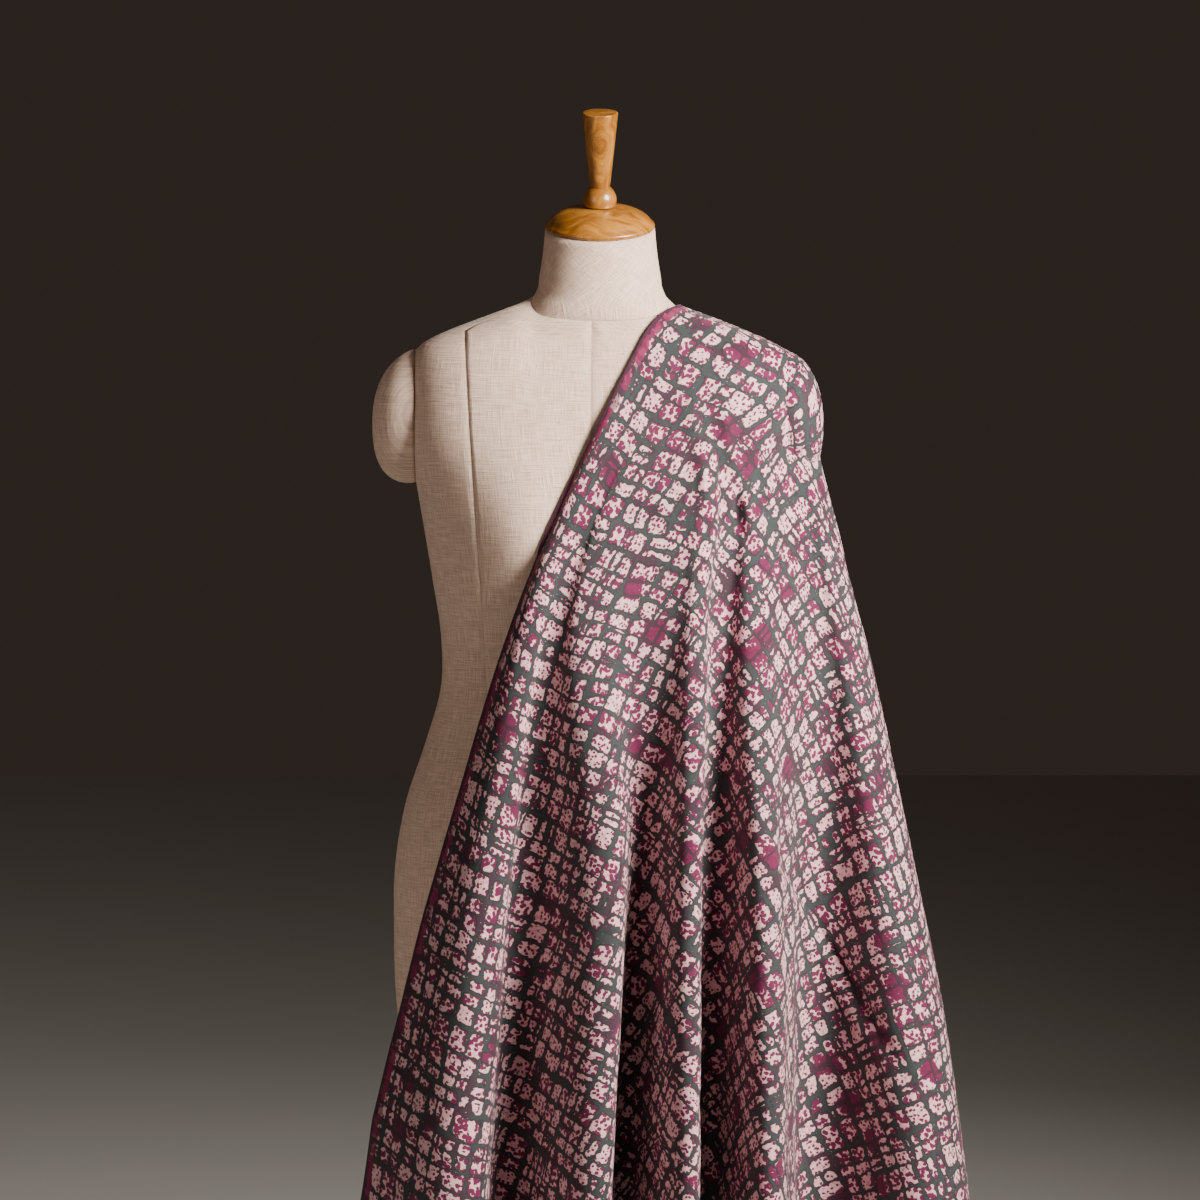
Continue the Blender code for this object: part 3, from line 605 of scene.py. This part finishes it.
# ---- Turned pieces and meshes ----
def new_object(name, points, faces, flats=None):
    """A mesh piece. flats gives each point's place on the UV map."""
    mesh = bpy.data.meshes.new(name)
    mesh.from_pydata([tuple(map(float, point)) for point in points], [], faces)
    if flats is not None:
        layer = mesh.uv_layers.new(name="flat")
        corners = np.empty(len(mesh.loops), dtype=int)
        mesh.loops.foreach_get("vertex_index", corners)
        layer.data.foreach_set("uv", np.array(flats, float)[corners].ravel())
    mesh.validate()
    mesh.shade_smooth()
    piece = bpy.data.objects.new(name, mesh)
    bpy.context.collection.objects.link(piece)
    return piece


def closed_loft(name, rings, end_point=None, maps=None):
    """A closed body through rings of equal count. The ends are flat, or the last one closes on a point."""
    count = len(rings[0])
    points = [point for ring in rings for point in ring]
    flats = None if maps is None else [place for ring in maps for place in ring]
    faces = [list(range(count))[::-1]]
    for k in range(len(rings) - 1):
        for j in range(count):
            after = (j + 1) % count
            low, high = k * count, (k + 1) * count
            faces.append([low + j, low + after, high + after, high + j])
    last = (len(rings) - 1) * count
    if end_point is None:
        faces.append([last + j for j in range(count)])
    else:
        points.append(end_point)
        if flats is not None:
            flats.append(np.mean(maps[-1], axis=0))
        faces += [[last + j, last + (j + 1) % count, len(points) - 1] for j in range(count)]
    return new_object(name, points, faces, flats)


def turned(name, outline, steps=96):
    """A turned piece with flat ends. The outline gives radius and height, from its underside up."""
    angles = 2 * math.pi * np.arange(steps) / steps
    circle = np.stack((np.cos(angles), np.sin(angles), np.zeros(steps)), axis=-1)
    piece = closed_loft(name, [circle * radius + (0.0, 0.0, height) for radius, height in outline])
    piece.data.set_sharp_from_angle(angle=SHARP_FROM)
    return piece


def arc(middle_radius, middle_height, size_out, size_up, start, end, steps):
    """Outline points along an arc, from one angle to another in degrees, 0 pointing outwards."""
    angles = np.radians(np.linspace(start, end, steps + 1))
    return list(zip(middle_radius + size_out * np.cos(angles), middle_height + size_up * np.sin(angles)))


def on_neck(piece, up):
    """Puts a turned piece on the neck's leaning axis, its zero height this far above the top face."""
    piece.rotation_euler = (NECK_TILT, 0.0, 0.0)
    piece.location = (0.0, -up * math.sin(NECK_TILT), NECK_TOP + up * math.cos(NECK_TILT))
    return piece


def make_neck_lid():
    """A turned lid with a rounded rim and a shallow dome, flat in the middle for the ball."""
    rim = arc(LID_RADIUS - LID_RIM / 2, LID_RIM / 2, LID_RIM / 2, LID_RIM / 2, -90, 60, 12)
    dome = arc(0.0, LID_RIM * 0.75, LID_RADIUS - LID_SHOULDER, LID_RIM * 0.25 + LID_DOME, 12, 76, 20)
    return on_neck(turned("neck_lid", rim + dome + [(LID_FLAT, LID_RIM + LID_DOME)]), SEAT_GAP)


def make_handle():
    """A ball on the lid, and above it a flared handle with a flat top."""
    outline = [(BALL_FOOT, 0.0)] + arc(0.0, BALL_MIDDLE, BALL_RADIUS, BALL_RADIUS, *BALL_CUT, 20)
    start = outline[-1][1] + WAIST_RISE
    parts = np.arange(1, HANDLE_STEPS + 1) / HANDLE_STEPS
    radii = WAIST_RADIUS + (HANDLE_TOP - WAIST_RADIUS) * parts**HANDLE_FLARE
    outline += list(zip(radii, start + HANDLE_LENGTH * parts))
    outline += arc(HANDLE_TOP - TOP_EDGE[0], start + HANDLE_LENGTH, *TOP_EDGE, 0, 90, 5)
    return on_neck(turned("turned_handle", outline), 2 * SEAT_GAP + LID_RIM + LID_DOME)


def make_pole():
    """The pole, with a collar at its foot and a round flange under the form."""
    foot = BASE_THICK + SEAT_GAP
    top = TORSO_BOTTOM - SEAT_GAP
    under_flange = top - FLANGE_THICK
    hollow, flare = FOOT_RADIUS - POLE_RADIUS, FLANGE_THICK
    outline = [(FOOT_RADIUS, foot), (FOOT_RADIUS, foot + FOOT_HEIGHT)]
    outline += arc(FOOT_RADIUS, foot + FOOT_HEIGHT + FOOT_TAPER, -hollow, -FOOT_TAPER, 88, 0, 10)
    outline += arc(POLE_RADIUS + flare, under_flange - flare, -flare, flare, 0, 80, 8)
    outline += [(FLANGE_RADIUS - FLANGE_EDGE, under_flange), (FLANGE_RADIUS, under_flange + FLANGE_EDGE)]
    outline.append((FLANGE_RADIUS, top))
    return turned("stand_pole", outline)


def make_base():
    """A round steel foot, flat below, with a rounded rim and a top that slopes down to it."""
    outline = [(BASE_RADIUS - BASE_EDGE / 2, 0.0)]
    outline += arc(BASE_RADIUS - BASE_EDGE, BASE_RIM_MIDDLE, BASE_EDGE, BASE_EDGE, -60, 60, 12)
    outline += arc(BASE_RADIUS - BASE_BEND[0], BASE_THICK - BASE_BEND[1], *BASE_BEND_SIZE, 60, 90, 6)
    outline.append((BASE_TOP, BASE_THICK))
    return turned("stand_base", outline, 160)


# ---- Materials ----
class Material:
    """A node material, with short calls for its nodes."""

    def __init__(self, name, bump, looks):
        """bump is the height of its relief."""
        self.bump = bump
        self.data = bpy.data.materials.new(name)
        self.data.use_nodes = True
        self.tree = self.data.node_tree
        self.shader = self.tree.nodes["Principled BSDF"]
        for key, value in looks.items():
            self.shader.inputs[key].default_value = value

    def node(self, kind, settings, inputs):
        """A node, its settings, and its inputs: numbers, vectors, colours or other nodes' outputs."""
        made = self.tree.nodes.new("ShaderNode" + kind)
        for key, value in settings.items():
            setattr(made, key, value)
        for key, value in inputs.items():
            if isinstance(value, bpy.types.NodeSocket):
                self.tree.links.new(value, made.inputs[key])
            else:
                socket = made.inputs[key]
                socket.default_value = (*value, 1.0) if socket.type == "RGBA" else value
        return made

    def flat(self):
        """The place in the flat piece, in metres."""
        return self.node("UVMap", {"uv_map": "flat"}, {}).outputs[0]

    def own(self):
        """The place in the piece's own space, in metres."""
        return self.node("TexCoord", {}, {}).outputs["Object"]

    def math(self, operation, a, b=0.0, c=0.0):
        return self.node("Math", {"operation": operation}, {0: a, 1: b, 2: c}).outputs[0]

    def times(self, a, b):
        return self.math("MULTIPLY", a, b)

    def times_plus(self, a, b, c):
        """a times b, plus c."""
        return self.math("MULTIPLY_ADD", a, b, c)

    def step(self, value, low, high):
        """0 up to low, 1 from high, and smooth between them. high may be the lower of the two."""
        inputs = {"Value": value, "From Min": low, "From Max": high}
        return self.node("MapRange", {"interpolation_type": "SMOOTHSTEP"}, inputs).outputs[0]

    def part(self, value, low, high, most):
        """A step that rises to most, rather than to 1."""
        return self.times(self.step(value, low, high), most)

    def mix(self, share, first, second):
        """The first colour, with a share of the second over it."""
        inputs = {0: share, 6: first, 7: second}
        return self.node("Mix", {"data_type": "RGBA"}, inputs).outputs[2]

    def noise(self, place, scale, detail=2.0, roughness=0.5):
        inputs = {"Vector": place, "Scale": scale, "Detail": detail, "Roughness": roughness}
        return self.node("TexNoise", {}, inputs).outputs[0]

    def voronoi(self, feature, inputs):
        """Uneven cells, in a row where the inputs give W and otherwise in the plane."""
        settings = {"voronoi_dimensions": "1D" if "W" in inputs else "2D", "feature": feature}
        return self.node("TexVoronoi", settings, inputs).outputs

    def split(self, vector):
        """The three parts of a vector or colour."""
        return self.node("SeparateXYZ", {}, {0: vector}).outputs

    def scaled(self, place, x, y, z=1.0):
        inputs = {0: place, 1: (x, y, z)}
        return self.node("VectorMath", {"operation": "MULTIPLY"}, inputs).outputs[0]

    def added(self, first, second):
        return self.node("VectorMath", {"operation": "ADD"}, {0: first, 1: second}).outputs[0]

    def offset(self, place, scale, detail):
        """A smooth random vector at each place, about zero."""
        made = self.node("TexNoise", {}, {"Vector": place, "Scale": scale, "Detail": detail})
        return self.added(made.outputs[1], (-0.5, -0.5, -0.5))

    def moved(self, place, offset, far):
        """The place moved in the plane by this many times the offset."""
        return self.added(place, self.scaled(offset, far, far))

    def finish(self, colour, height):
        """Joins the colour and the relief to the shader."""
        bump = self.node("Bump", {}, {"Strength": 1.0, "Distance": self.bump, "Height": height})
        self.tree.links.new(colour, self.shader.inputs["Base Color"])
        self.tree.links.new(bump.outputs[0], self.shader.inputs["Normal"])
        return self.data


# Batik print. A texture's scale is its waves or cells for each metre of cloth.
CELL_PINK = (0.82, 0.515, 0.545)
CELL_ROSE = (0.46, 0.09, 0.16)
GROUND_SLATE = (0.025, 0.034, 0.035)
GROUND_DARK = (0.009, 0.009, 0.011)
GROUND_PALE = (0.08, 0.11, 0.105)
PLUM = (0.042, 0.008, 0.024)
MAGENTA = (0.140, 0.001, 0.049)
MAGENTA_DEEP = (0.055, 0.001, 0.019)
SELVEDGE_PLUM = (0.046, 0.004, 0.023)
SELVEDGE_MAGENTA = (0.190, 0.001, 0.056)
CELL_PITCH = 0.0192  # mean distance between the lines
BAND_SCALE = 13.0  # bands of narrow and wide cells
BAND_CELLS = 1.9  # the most cells by which they shift a line
LINE_UNEVEN = 0.62  # 0 for lines at even distances, 1 for chance
BLOCK_ROWS = 6.3  # rows that share their columns
BLOCK_SHIFT = 60.0  # the most cells by which their columns are shifted
CUT_SHARE = 0.13  # share of the cells cut in two one way, and as many the other way
UNCUT = 9.0  # in cells: a cut this far off is not seen
CORNER = 0.22  # rounding of the cells' corners, in cells
LINE_THIN = 0.0008  # half a line's width where it is thinnest
LINE_MORE = 0.0025  # and how much more it is where it is thickest
WANDER = 0.016  # how far the lines wander
LINE_SHAKE = 0.0046  # how far their edges shake
DROP_SHAKE = 0.0036  # and the drops'
ROUGH_SHAKE = 0.0100  # and those of the crackle, patches and selvedge
SELVEDGE_LINE = 0.0042  # width of the plum line along the selvedge
SELVEDGE_STRIP = 0.0105  # and of that line with the patches of magenta beside it
THREAD_PITCH = 0.00045  # of the plain weave, both ways


def batik_print():
    """A wax-resist print: pale cells in an uneven grid of slate lines, with crackle and magenta splashes."""
    looks = {"Roughness": 0.60, "Specular IOR Level": 0.35, "Sheen Weight": 0.10}
    m = Material("batik_cotton", 0.00012, looks)
    flat = m.flat()

    # Hand-drawn lines wander slowly, and their edges shake.
    wander = m.offset(flat, 15.0, 1.0)
    shake = m.offset(flat, 170.0, 2.0)
    place = m.split(m.moved(m.moved(flat, wander, WANDER), shake, LINE_SHAKE))
    rough_place = m.moved(flat, shake, ROUGH_SHAKE)

    def spread(position):
        """Position in cells. Bands of narrow and wide cells follow each other along it."""
        inputs = {"W": position, "Scale": BAND_SCALE, "Detail": 1.0}
        band = m.node("TexNoise", {"noise_dimensions": "1D"}, inputs).outputs[0]
        return m.times_plus(band, BAND_CELLS, m.math("DIVIDE", position, CELL_PITCH))

    def lines(position):
        """Distance to the nearest line of an uneven row, and the middle of the gap that a place is in."""
        inputs = {"W": position, "Scale": 1.0, "Randomness": LINE_UNEVEN}
        return m.voronoi("DISTANCE_TO_EDGE", inputs)["Distance"], m.voronoi("F1", inputs)["W"]

    row_position = spread(place[1])
    row_edge, row = lines(row_position)
    block = m.math("FLOOR", m.math("DIVIDE", row, BLOCK_ROWS))
    shift = m.node("TexWhiteNoise", {"noise_dimensions": "1D"}, {"W": block}).outputs[0]
    column_position = m.times_plus(shift, BLOCK_SHIFT, spread(place[0]))
    column_edge, column = lines(column_position)
    cell = m.node("CombineXYZ", {}, {0: row, 1: column}).outputs[0]
    lots = m.node("TexWhiteNoise", {"noise_dimensions": "3D"}, {"Vector": cell}).outputs

    def nearest(edge, position, gap, uncut, limit):
        """Distance to the nearest line, or to the cut through the middle of some cells."""
        cut = m.math("ABSOLUTE", m.math("SUBTRACT", position, gap))
        return m.math("MINIMUM", edge, m.times_plus(m.math(uncut, lots[0], limit), UNCUT, cut))

    # Some cells are cut in two, along or across.
    row_edge = nearest(row_edge, row_position, row, "GREATER_THAN", CUT_SHARE)
    column_edge = nearest(column_edge, column_position, column, "LESS_THAN", 1 - CUT_SHARE)
    edge = m.math("SMOOTH_MIN", row_edge, column_edge, CORNER)
    line_half = m.times_plus(m.step(m.noise(flat, 48.0), 0.36, 0.70), LINE_MORE, LINE_THIN)
    past_line = m.times_plus(edge, CELL_PITCH, m.times(line_half, -1.0))
    in_cell = m.step(past_line, 0.0, 0.0005)

    # Ground, in places dyed plum, and darkest beside the wax.
    ground = m.mix(m.part(m.noise(flat, 30.0, 3.0), 0.52, 0.62, 0.80), GROUND_SLATE, PLUM)
    ground = m.mix(m.part(m.noise(flat, 420.0, 3.0), 0.55, 0.80, 0.30), ground, GROUND_PALE)
    ground = m.mix(m.part(past_line, -0.0012, -0.0001, 0.75), ground, GROUND_DARK)

    # Cells, their crackle and their wash of dye.
    crackle = m.voronoi("DISTANCE_TO_EDGE", {"Vector": rough_place, "Scale": 110.0})[0]
    crackle = m.times(m.step(crackle, 0.050, 0.010), m.step(m.noise(flat, 80.0, 1.0), 0.38, 0.60))
    wash = m.part(m.noise(flat, 190.0, 4.0, 0.7), 0.43, 0.74, 0.70)
    cells = m.mix(m.math("MAXIMUM", m.times(crackle, 0.70), wash), CELL_PINK, CELL_ROSE)

    # Splashes of magenta: a few large patches, and round drops with dark rims that crowd at cells' edges.
    patch = m.voronoi("F1", {"Vector": rough_place, "Scale": 22.0})
    patch_size = m.part(m.split(patch["Color"])[0], 0.54, 1.0, 0.34)
    ragged = m.times_plus(m.noise(flat, 70.0), 0.5, patch["Distance"])
    patches = m.step(m.math("SUBTRACT", ragged, patch_size), 0.24, 0.20)
    cells = m.mix(patches, cells, MAGENTA)
    drops = m.voronoi("F1", {"Vector": m.moved(flat, shake, DROP_SHAKE), "Scale": 225.0})[0]
    eager = m.times_plus(m.step(m.split(lots[1])[1], 0.05, 1.0), 0.28, 0.27)
    reach = m.times_plus(m.step(past_line, 0.0034, 0.0), 0.14, eager)
    reach = m.times(reach, m.step(m.noise(flat, 120.0, 1.0), 0.32, 0.47))
    past_drop = m.math("SUBTRACT", drops, reach)
    drop = m.mix(m.step(past_drop, -0.02, -0.14), MAGENTA_DEEP, MAGENTA)
    cells = m.mix(m.step(past_drop, 0.02, -0.02), cells, drop)
    cells = m.mix(m.part(past_line, 0.0009, 0.0002, 0.55), cells, PLUM)
    ground = m.mix(m.times(patches, 0.85), ground, PLUM)
    colour = m.mix(in_cell, ground, cells)

    # Fine pale flecks over all of it.
    colour = m.mix(m.part(m.noise(flat, 620.0, 0.0), 0.80, 0.84, 0.7), colour, CELL_PINK)

    # The selvedge: a plum edge, and inside it patches of magenta and plum.
    inset = m.split(rough_place)[0]
    ragged_inset = m.times_plus(m.noise(flat, 75.0), 0.012, inset)
    in_strip = m.step(ragged_inset, SELVEDGE_STRIP + 0.0062, SELVEDGE_STRIP + 0.0054)
    blush = m.step(m.noise(m.scaled(flat, 14.0, 40.0), 1.0), 0.45, 0.50)
    strip = m.mix(blush, SELVEDGE_PLUM, SELVEDGE_MAGENTA)
    colour = m.mix(m.times(in_strip, m.times_plus(blush, 0.35, 0.60)), colour, strip)
    colour = m.mix(m.step(inset, SELVEDGE_LINE, SELVEDGE_LINE - 0.0006), colour, SELVEDGE_PLUM)

    # Relief: plain weave of uneven threads.
    turn = 2 * math.pi / THREAD_PITCH
    threads = m.split(m.scaled(flat, turn, turn))
    weave = m.times(m.math("SINE", threads[0]), m.math("SINE", threads[1]))
    slub = m.noise(m.scaled(flat, 700.0, 60.0), 1.0)
    return m.finish(colour, m.times_plus(weave, 0.5, slub))


LINEN_THREAD = (0.54, 0.365, 0.272)
LINEN_PALE = (0.85, 0.640, 0.520)
LINEN_SLUB = (0.90, 0.72, 0.60)
LINEN_AGED = (0.58, 0.45, 0.34)
LINEN_SPECK = (0.20, 0.12, 0.07)
# painted shade for the seams' grooves
LINEN_PAINTED_SHADE = (0.16, 0.10, 0.07)


def linen():
    """Undyed linen: a fine weave with thicker threads showing both ways, and painted shade in the seams'
    grooves.
    """
    looks = {"Roughness": 0.88, "Specular IOR Level": 0.25, "Sheen Weight": 0.10}
    m = Material("linen_cover", 0.0005, looks)
    flat = m.flat()

    def threads(x, y, detail=2.0):
        """Streaks with this many waves for each metre across and along the cover."""
        return m.noise(m.scaled(flat, x, y), 1.0, detail)

    fine = m.times(m.math("ADD", threads(950.0, 50.0), threads(40.0, 950.0)), 0.5)
    colour = m.mix(m.step(fine, 0.34, 0.66), LINEN_THREAD, LINEN_PALE)
    thick_upright = m.part(threads(620.0, 17.0, 1.0), 0.62, 0.76, 0.6)
    slubs = m.math("MAXIMUM", thick_upright, m.step(threads(20.0, 620.0, 1.0), 0.60, 0.74))
    colour = m.mix(m.times(slubs, 0.55), colour, LINEN_SLUB)
    colour = m.mix(m.part(m.noise(flat, 14.0, 3.0), 0.35, 0.75, 0.22), colour, LINEN_AGED)
    colour = m.mix(m.part(m.noise(flat, 330.0, 0.0), 0.79, 0.82, 0.50), colour, LINEN_SPECK)
    # Painted shade: the seams' grooves are darkened towards a dark brown.
    painted_seam_shade = m.node("Attribute", {"attribute_name": "painted_seam_shade"}, {}).outputs["Fac"]
    colour = m.mix(m.part(painted_seam_shade, 0.45, 0.95, SEAM_SHADE), colour, LINEN_PAINTED_SHADE)
    return m.finish(colour, m.times_plus(slubs, 0.6, fine))


WOOD_DARK = (0.19, 0.064, 0.007)
WOOD_HONEY = (0.47, 0.200, 0.028)
WOOD_PORE = (0.16, 0.06, 0.02)


def varnished_wood():
    """Honey-coloured beech under a clear varnish."""
    m = Material("varnished_wood", 0.0002, {"Roughness": 0.34, "Coat Weight": 0.5, "Coat Roughness": 0.12})
    own = m.own()
    bend = m.node("CombineXYZ", {}, {1: m.times(m.noise(own, 22.0), 9.0)}).outputs[0]
    grain = m.noise(m.added(m.scaled(own, 26.0, 150.0, 26.0), bend), 1.0, 5.0, 0.6)
    pores = m.noise(m.scaled(own, 300.0, 2600.0, 300.0), 1.0)
    colour = m.mix(m.step(grain, 0.30, 0.70), WOOD_DARK, WOOD_HONEY)
    colour = m.mix(m.part(pores, 0.56, 0.70, 0.45), colour, WOOD_PORE)
    return m.finish(colour, m.math("SUBTRACT", grain, m.times(pores, 0.4)))


PAINT_BLACK = (0.016, 0.016, 0.017)
PAINT_DUSTY = (0.050, 0.048, 0.045)


def painted_steel():
    """Black paint, slightly pebbled and dusty."""
    m = Material("painted_steel", 0.00008, {"Roughness": 0.42})
    own = m.own()
    colour = m.mix(m.step(m.noise(own, 9.0, 5.0, 0.65), 0.40, 0.80), PAINT_BLACK, PAINT_DUSTY)
    return m.finish(colour, m.noise(own, 900.0))


FLOOR_GREY = (0.62, 0.61, 0.59)
FLOOR_PALE = (0.68, 0.67, 0.65)


def studio_floor():
    """Pale, slightly uneven paint."""
    m = Material("pale_floor", 0.0002, {"Roughness": 0.75})
    own = m.own()
    colour = m.mix(m.noise(own, 3.0, 4.0), FLOOR_GREY, FLOOR_PALE)
    return m.finish(colour, m.noise(own, 60.0, 3.0))


# ---- Stage ----
# One row for each light, a round area aimed at the form's middle line at the height target. Its power is in
# watts. A spread below 180 degrees keeps its light near its axis. mirrored: glossy faces show it.
Light = namedtuple("Light", "name place target size power colour spread mirrored")
LIGHTS = (
    Light("key_light", (1.60, -1.29, 2.10), 1.36, 1.0, 62, (1.0, 0.93, 0.86), 100, True),
    Light("fill_light", (-2.4, -2.6, 1.7), 1.1, 2.0, 21, (1.0, 0.86, 0.76), 180, True),
    Light("rim_light", (0.8, 2.6, 2.4), 1.1, 1.4, 12, (1.0, 0.93, 0.86), 180, False),
)
ROOM_COLOUR = (0.030, 0.022, 0.018, 1.0)
FLOOR_HALF = 9
CAMERA_TARGET = 1.2  # height on the form's middle line
CAMERA_DISTANCE = 4.2
CAMERA_RISE = math.radians(4.1)
CAMERA_LENS = 126


def placed(name, data, place, target):
    """A light or camera, turned to the form's middle line at the height target."""
    thing = bpy.data.objects.new(name, data)
    bpy.context.collection.objects.link(thing)
    thing.location = place
    thing.rotation_euler = (Vector((0.0, 0.0, target)) - thing.location).to_track_quat("-Z", "Y").to_euler()
    return thing


def make_stage():
    """Pale floor, soft light from the front right and above, and the camera."""
    corners = [(x * FLOOR_HALF, y * FLOOR_HALF, 0) for x, y in ((-1, -1), (1, -1), (1, 1), (-1, 1))]
    floor = new_object("studio_floor", corners, [(0, 1, 2, 3)])
    floor.data.materials.append(studio_floor())
    world = bpy.data.worlds.new("studio")
    world.use_nodes = True
    world.node_tree.nodes["Background"].inputs["Color"].default_value = ROOM_COLOUR
    bpy.context.scene.world = world
    for light in LIGHTS:
        data = bpy.data.lights.new(light.name, "AREA")
        data.spread = math.radians(light.spread)
        data.shape = "DISK"
        data.size = light.size
        data.energy = light.power
        data.color = light.colour
        placed(light.name, data, light.place, light.target).visible_glossy = light.mirrored
    data = bpy.data.cameras.new("camera")
    data.lens = CAMERA_LENS
    back, up = math.cos(CAMERA_RISE), math.sin(CAMERA_RISE)
    place = (0.0, -back * CAMERA_DISTANCE, CAMERA_TARGET + up * CAMERA_DISTANCE)
    bpy.context.scene.camera = placed("camera", data, place, CAMERA_TARGET)


def dress(piece, material, slot, *nodes):
    """The piece takes its material, rides on the one body, and stands for its CAD nodes."""
    piece.data.materials.append(material)
    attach(piece, "root")
    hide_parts(*nodes)


cloth = make_cloth()
dress(cloth, batik_print(), "batik_cotton", "fabric")
linen_material = linen()
dress(make_torso(), linen_material, "linen_cover", "form_torso")
dress(make_arm_cap("arm_dome_left", -1), linen_material, "linen_cover", "arm_cap_left")
dress(make_arm_cap("arm_dome_right", 1), linen_material, "linen_cover", "arm_cap_right")
wood = varnished_wood()
dress(make_neck_lid(), wood, "varnished_wood", "neck_cap")
dress(make_handle(), wood, "varnished_wood", "finial")
steel = painted_steel()
dress(make_pole(), steel, "painted_steel", "pole")
dress(make_base(), steel, "painted_steel", "base")
make_stage()
